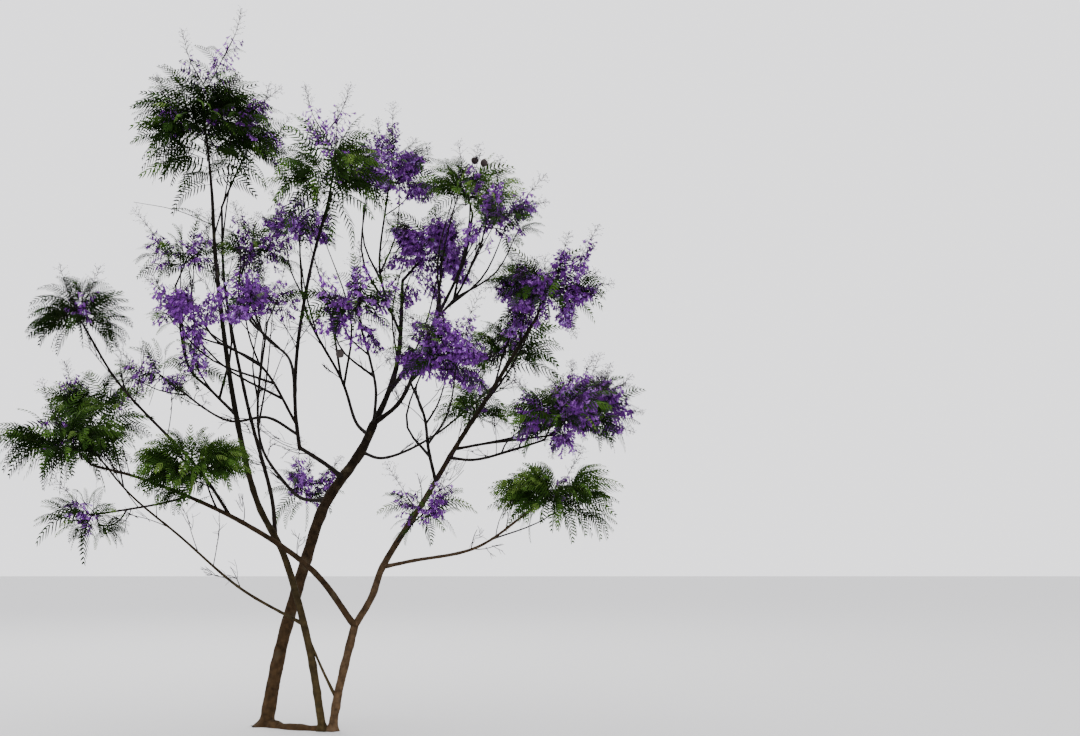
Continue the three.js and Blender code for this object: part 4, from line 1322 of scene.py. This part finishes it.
    def grow_limb_twigs(self):
        """Thin branches that leave the limb below the mass and end in whorls within it."""
        for reaches in LIMB_TWIG_BELOW[:self.limb_twigs]:
            below = min(self.rng.uniform(*reaches), 0.8 * self.curve.length)
            start = self.curve.point(1 - below / self.curve.length)
            way = rising(self.rng.uniform(0, 2 * math.pi), self.rng.uniform(*LIMB_TWIG_RISE))
            end = self.middle + self.half * self.rng.uniform(*LIMB_TWIG_REACH) * way
            if not self.owns(end):
                continue
            middle = blend(start, end, 0.45) + way * (1, 1, 0) * below * 0.14
            route = Curve([start, middle + DOWN * below * 0.05, end])
            share = np.linspace(0, 1, 9)
            thick = blend(6 + below / 180, 3.5, share)
            self.foliage.twigs.add(*tube(route.point(share), thick, 6))
            self.whorl(route.point(0.7), end)
            if self.bloom == 1:
                length = self.rng.uniform(*PANICLE_LENGTH) * SIDE_PANICLE
                self.foliage.panicle(end, way + UP * 0.4, length, self.bloom)

    def grow_young(self, shoot):
        """Short young leaves that stand up at the tip of a shoot without blossom."""
        axis = unit(shoot["tip"] - shoot["root"])
        for k in range(YOUNG_LEAVES):
            along = unit(axis * 0.8 + sideways(axis, LEAF_TURN * k + shoot["turn"]) * 0.5
                         + UP * 0.6)
            leaf = leaf_blade(shoot["tip"], along, self.rng.uniform(*YOUNG_LEAF))
            if self.fits(leaf):
                self.foliage.leaf(leaf, LEAVES[2:])

    def grow_leaf_ring(self, stem):
        """Leaves that stand out like spokes from one growth point, as seen from the front."""
        offset, count = LEAF_RINGS[self.name]
        centre = self.middle + offset
        twig_tube(self.foliage.twigs, blend(stem["root"], stem["tip"], 0.25), centre,
                  RING_TWIG_THICK, sides=5, steps=3, bow=10)
        for k in range(count):
            turn = 2 * math.pi * (k + self.rng.uniform(*RING_SPREAD)) / count
            along = unit([math.cos(turn), self.rng.uniform(*RING_TILT), math.sin(turn)])
            self.add_leaf(centre, along, self.rng.uniform(*LEAF_LENGTH) * RING_LEAF_SHARE)

    def grow_shoot(self, i, shoot, leaves, length):
        """One shoot with its leaves, its blossom, its finer twigs and its pod."""
        foliage, rng = self.foliage, self.rng
        root, tip, tall = shoot["root"], shoot["tip"], shoot["tall"]
        axis = tip - root
        span = float(np.linalg.norm(axis))
        bend = sideways(axis / span, i * SHOOT_BOW_TURN)
        bow = 0 if tall else SHOOT_BOW * span
        thick = SHOOT_LOOK["tall" if tall else "plain"]
        if shoot["stem"]:
            thick = (self.foot_thick, SHOOT_LOOK["plain"][0] + 1)
        twig_tube(foliage.twigs, root, tip, thick, sides=6, steps=6, bow=bow, way=bend)
        if (shoot["stem"] or tall) and self.leafiness >= LEAFY:
            self.grow_stem_leaves(shoot, bend * bow)
        along = unit(axis) + UP * PANICLE_RISE
        if tall:
            if self.bloom >= FULL_BLOOM:
                foliage.panicle(tip, along, length, self.bloom)
            else:
                foliage.spike(root, tip, along, length)
            return
        for k, leaf in enumerate(leaves):
            if k % LEAVES_PER_BLADE == 0 and leaf["along"][2] > STEEPEST:
                leaf["along"] = unit(leaf["along"] + UP * rng.uniform(*BLADE_LIFT))
            elif rng.random() > self.leafiness:
                continue
            else:
                leaf["along"] = self.fanned(leaf["root"], leaf["along"])
            roll(leaf, rng)
            if self.fits(leaf):
                leaf["root"] = leaf["root"] + bend * bow * math.sin(math.pi * leaf["share"])
                foliage.leaf(leaf, self.tone(leaf))
        if shoot["blooms"]:
            foliage.panicle(tip, along, length, self.bloom)
        else:
            self.grow_young(shoot)
        for _ in range(self.side_twigs):
            self.grow_side_twig(shoot, length)
        if i < self.pods:
            share, offset = POD_TWIGS[self.name][i]
            end = self.middle + offset
            twig_tube(foliage.twigs, blend(root, tip, share), end, POD_TWIG_THICK, sides=5,
                      steps=3, bow=8)
            foliage.pod(end, GOLDEN_ANGLE * i, self.seed + i)

    def grow(self):
        shoots = self.grow_shoots()
        stem = shoots[0]
        for i, shoot in enumerate(shoots):
            leaves = self.shoot_leaves(shoot)
            length = blend(*PANICLE_LENGTH, next(self.draw))
            if shoot["stem"] or self.keeps_off(shoot["root"], shoot["tip"], SHOOT_THICK):
                self.grow_shoot(i, shoot, leaves, length)
        if self.at_tip:
            self.grow_limb_twigs()
        if self.name in LEAF_RINGS:
            self.grow_leaf_ring(stem)
        for offset in MORE_PANICLES.get(self.name, ()):
            start, end = blend(stem["root"], stem["tip"], 0.8), self.middle + offset
            twig_tube(self.foliage.twigs, start, end, MORE_THICK, sides=5, steps=4, bow=30,
                      way=DOWN)
            self.whorl(start, end)
            out = unit(offset) + UP * 0.5
            self.foliage.panicle(end, out, PANICLE_LENGTH[1] * MORE_SHARE, 1)


def grow_lone_twig(foliage):
    """The long thin twig on the left stem that bears two hanging leaves."""
    share = np.linspace(0, 1, 9)
    route = Curve(LONE_TWIG)
    foliage.twigs.add(*tube(route.point(share), blend(4.5, 2, share), 5))
    foliage.reseed(LONE_SEED)
    for place, length in LONE_LEAVES:
        leaf = leaf_blade(route.point(place), unit(LONE_LEAF_WAY), length)
        foliage.leaf(leaf, LEAVES[1:3])


def grow_bare_twigs(foliage, curves):
    """Thin dead twigs on the middle stretch of the smaller limbs."""
    for index, (name, parent, _, _, _) in enumerate(LIMBS):
        if parent is None or name == "thin_stem":
            continue
        curve = curves[name]
        rng = foliage.reseed(DEAD_TWIG_SEED + index)
        for _ in range(max(1, round(curve.length / DEAD_TWIG_SPACING))):
            share = rng.uniform(*DEAD_TWIG_FROM)
            start, tangent = curve.point(share), curve.tangent(share)
            way = unit(tangent * 0.7 + sideways(tangent, rng.uniform(0, 2 * math.pi)) + UP * 0.7)
            foliage.bare_twig(start, way, rng.uniform(*DEAD_TWIG_LENGTH))


# ---- materials

def new_material(name, color, roughness, specular=0.3):
    material = bpy.data.materials.new(name)
    material.use_nodes = True
    shader = material.node_tree.nodes["Principled BSDF"]
    set_inputs(shader, **{"Base Color": (*color, 1), "Roughness": roughness,
                          "Specular IOR Level": specular})
    return material, material.node_tree, shader


def set_inputs(node, **values):
    for name, value in values.items():
        node.inputs[name].default_value = value


def texture(tree, kind, coordinates, **values):
    """A texture node that is read in the object's own coordinates."""
    node = tree.nodes.new(kind)
    set_inputs(node, **values)
    tree.links.new(coordinates, node.inputs["Vector"])
    return node


def noise_node(tree, scale, detail, coordinates):
    return texture(tree, "ShaderNodeTexNoise", coordinates, Scale=scale, Detail=detail)


def ramp_colour(tree, value, *stops):
    node = tree.nodes.new("ShaderNodeValToRGB")
    for element, (place, color) in zip(node.color_ramp.elements, stops):
        element.position = place
        element.color = (*color, 1)
    tree.links.new(value, node.inputs["Fac"])
    return node.outputs["Color"]


def mixed_colour(tree, kind, factor, first, second):
    node = tree.nodes.new("ShaderNodeMix")
    node.data_type = "RGBA"
    node.blend_type = kind
    if isinstance(factor, float):
        node.inputs["Factor"].default_value = factor
    else:
        tree.links.new(factor, node.inputs["Factor"])
    tree.links.new(first, node.inputs["A"])
    tree.links.new(second, node.inputs["B"])
    return node.outputs["Result"]


def add_bump(tree, shader, grain, strength, distance):
    bump = tree.nodes.new("ShaderNodeBump")
    set_inputs(bump, Strength=strength, Distance=distance)
    tree.links.new(grain.outputs["Fac"], bump.inputs["Height"])
    tree.links.new(bump.outputs["Normal"], shader.inputs["Normal"])


def bark_material(name, low, high, pale, heights):
    """Bark that darkens upwards as painted shade, with blotches, small pale warts and fissures as
    bump.
    """
    material, tree, shader = new_material(name, low, 0.9, 0.08)
    coordinates = tree.nodes.new("ShaderNodeTexCoord").outputs["Object"]
    parts = tree.nodes.new("ShaderNodeSeparateXYZ")
    tree.links.new(coordinates, parts.inputs[0])
    # painted shade: the colour darkens with height towards the backlit crown
    height = tree.nodes.new("ShaderNodeMapRange")
    set_inputs(height, **{"From Min": heights[0], "From Max": heights[1]})
    tree.links.new(parts.outputs["Z"], height.inputs["Value"])
    color = ramp_colour(tree, height.outputs[0], (0, low), (1, high))
    blotches = ramp_colour(tree, noise_node(tree, 22, 6, coordinates).outputs["Fac"],
                           (0.32, (0.42, 0.4, 0.38)), (0.68, (1.25, 1.2, 1.15)))
    color = mixed_colour(tree, "MULTIPLY", 1.0, color, blotches)
    where = ramp_colour(tree, noise_node(tree, 9, 5, coordinates).outputs["Fac"],
                        (0.58, (0, 0, 0)), (0.72, (0.55, 0.55, 0.55)))
    flat = tree.nodes.new("ShaderNodeRGB")
    flat.outputs[0].default_value = (*pale, 1)
    color = mixed_colour(tree, "MIX", where, color, flat.outputs[0])
    warts = texture(tree, "ShaderNodeTexVoronoi", coordinates, Scale=85)
    dots = ramp_colour(tree, warts.outputs["Distance"], (0.1, (1.5, 1.42, 1.3)),
                       (0.24, (1, 1, 1)))
    color = mixed_colour(tree, "MULTIPLY", 0.7, color, dots)
    tree.links.new(color, shader.inputs["Base Color"])
    add_bump(tree, shader, noise_node(tree, 160, 8, coordinates), 0.55, 0.004)
    return material


def tinted_material(name, color, spread, scale, roughness, specular):
    """A plain colour with slow mottling in brightness and a fine vein-like bump."""
    material, tree, shader = new_material(name, color, roughness, specular)
    coordinates = tree.nodes.new("ShaderNodeTexCoord").outputs["Object"]
    dark = tuple(c * (1 - spread) for c in color)
    light = tuple(min(1, c * (1 + spread)) for c in color)
    mottle = noise_node(tree, scale, 4, coordinates)
    tree.links.new(ramp_colour(tree, mottle.outputs["Fac"], (0.3, dark), (0.7, light)),
                   shader.inputs["Base Color"])
    add_bump(tree, shader, noise_node(tree, scale * 22, 3, coordinates), 0.25, 0.002)
    return material


# ---- stage

def plain_plane(name, size, color):
    mesh = bpy.data.meshes.new(name)
    corners = [(size / 2 * x, size / 2 * y, 0) for x, y in ((-1, -1), (1, -1), (1, 1), (-1, 1))]
    mesh.from_pydata(corners, [], [(0, 1, 2, 3)])
    mesh.materials.append(new_material(name, color, 0.9, 0.1)[0])
    plane = bpy.data.objects.new(name, mesh)
    bpy.context.scene.collection.objects.link(plane)


def area_light(name, place, target, size, power, color):
    data = bpy.data.lights.new(name, "AREA")
    data.shape = "DISK"
    data.size = size
    data.energy = power
    data.color = color
    light = bpy.data.objects.new(name, data)
    light.location = place
    way = Vector(target) - Vector(place)
    light.rotation_euler = way.to_track_quat("-Z", "Y").to_euler()
    bpy.context.scene.collection.objects.link(light)


def set_stage():
    plain_plane("floor", 90, (0.62, 0.62, 0.62))
    world = bpy.data.worlds.new("sky")
    world.use_nodes = True
    set_inputs(world.node_tree.nodes["Background"], Color=(0.82, 0.815, 0.84, 1), Strength=2.35)
    bpy.context.scene.world = world
    area_light("sky_light", (-4, 9, 13), (0, 0, 3), 9, 1500, (1.0, 0.99, 0.97))
    area_light("front_fill", (4, -11, 5), (0, 0, 2.5), 6, 200, (0.97, 0.98, 1.0))
    data = bpy.data.cameras.new("camera")
    data.lens = 50
    data.sensor_width = 36
    data.clip_end = 200
    camera = bpy.data.objects.new("camera", data)
    camera.location = (1.739, -12.5, 1.6)
    camera.rotation_euler = (math.radians(96.31), 0, 0)
    bpy.context.scene.collection.objects.link(camera)
    bpy.context.scene.camera = camera


# ---- all of it

def main():
    curves = grow_curves()
    tint_of = {limb: tint for tint, names in LOW_BARK.items() for limb in names}
    barks = {tint: Batch() for tint in BARKS}
    ridge_piece(barks["umber"], curves)
    for index, limb in enumerate(LIMBS):
        # limbs without a pale lower bark take the high bark, dark all over as painted shade
        limb_piece(barks[tint_of.get(limb[0], "high")], index, curves)
    high_limbs = [limb[0] for limb in LIMBS if limb[0] not in tint_of]
    replaced = {**LOW_BARK, "high": high_limbs}

    foliage = Foliage()
    limbs = limb_points(curves)
    for index in range(len(MASSES)):
        Mass(index, curves, limbs, foliage).grow()
    grow_bare_twigs(foliage, curves)
    grow_lone_twig(foliage)

    for tint, (name, slot, *looks) in BARKS.items():
        barks[tint].build("bark_" + tint, bark_material(name, *looks), slot, replaced[tint])
    mass_names = [mass[0] + "_foliage" for mass in MASSES]
    for name, (slot, smooth, *looks) in FOLIAGE_LOOKS.items():
        foliage.parts[name].build(name, tinted_material(*looks), slot, mass_names, smooth)
    set_stage()


main()
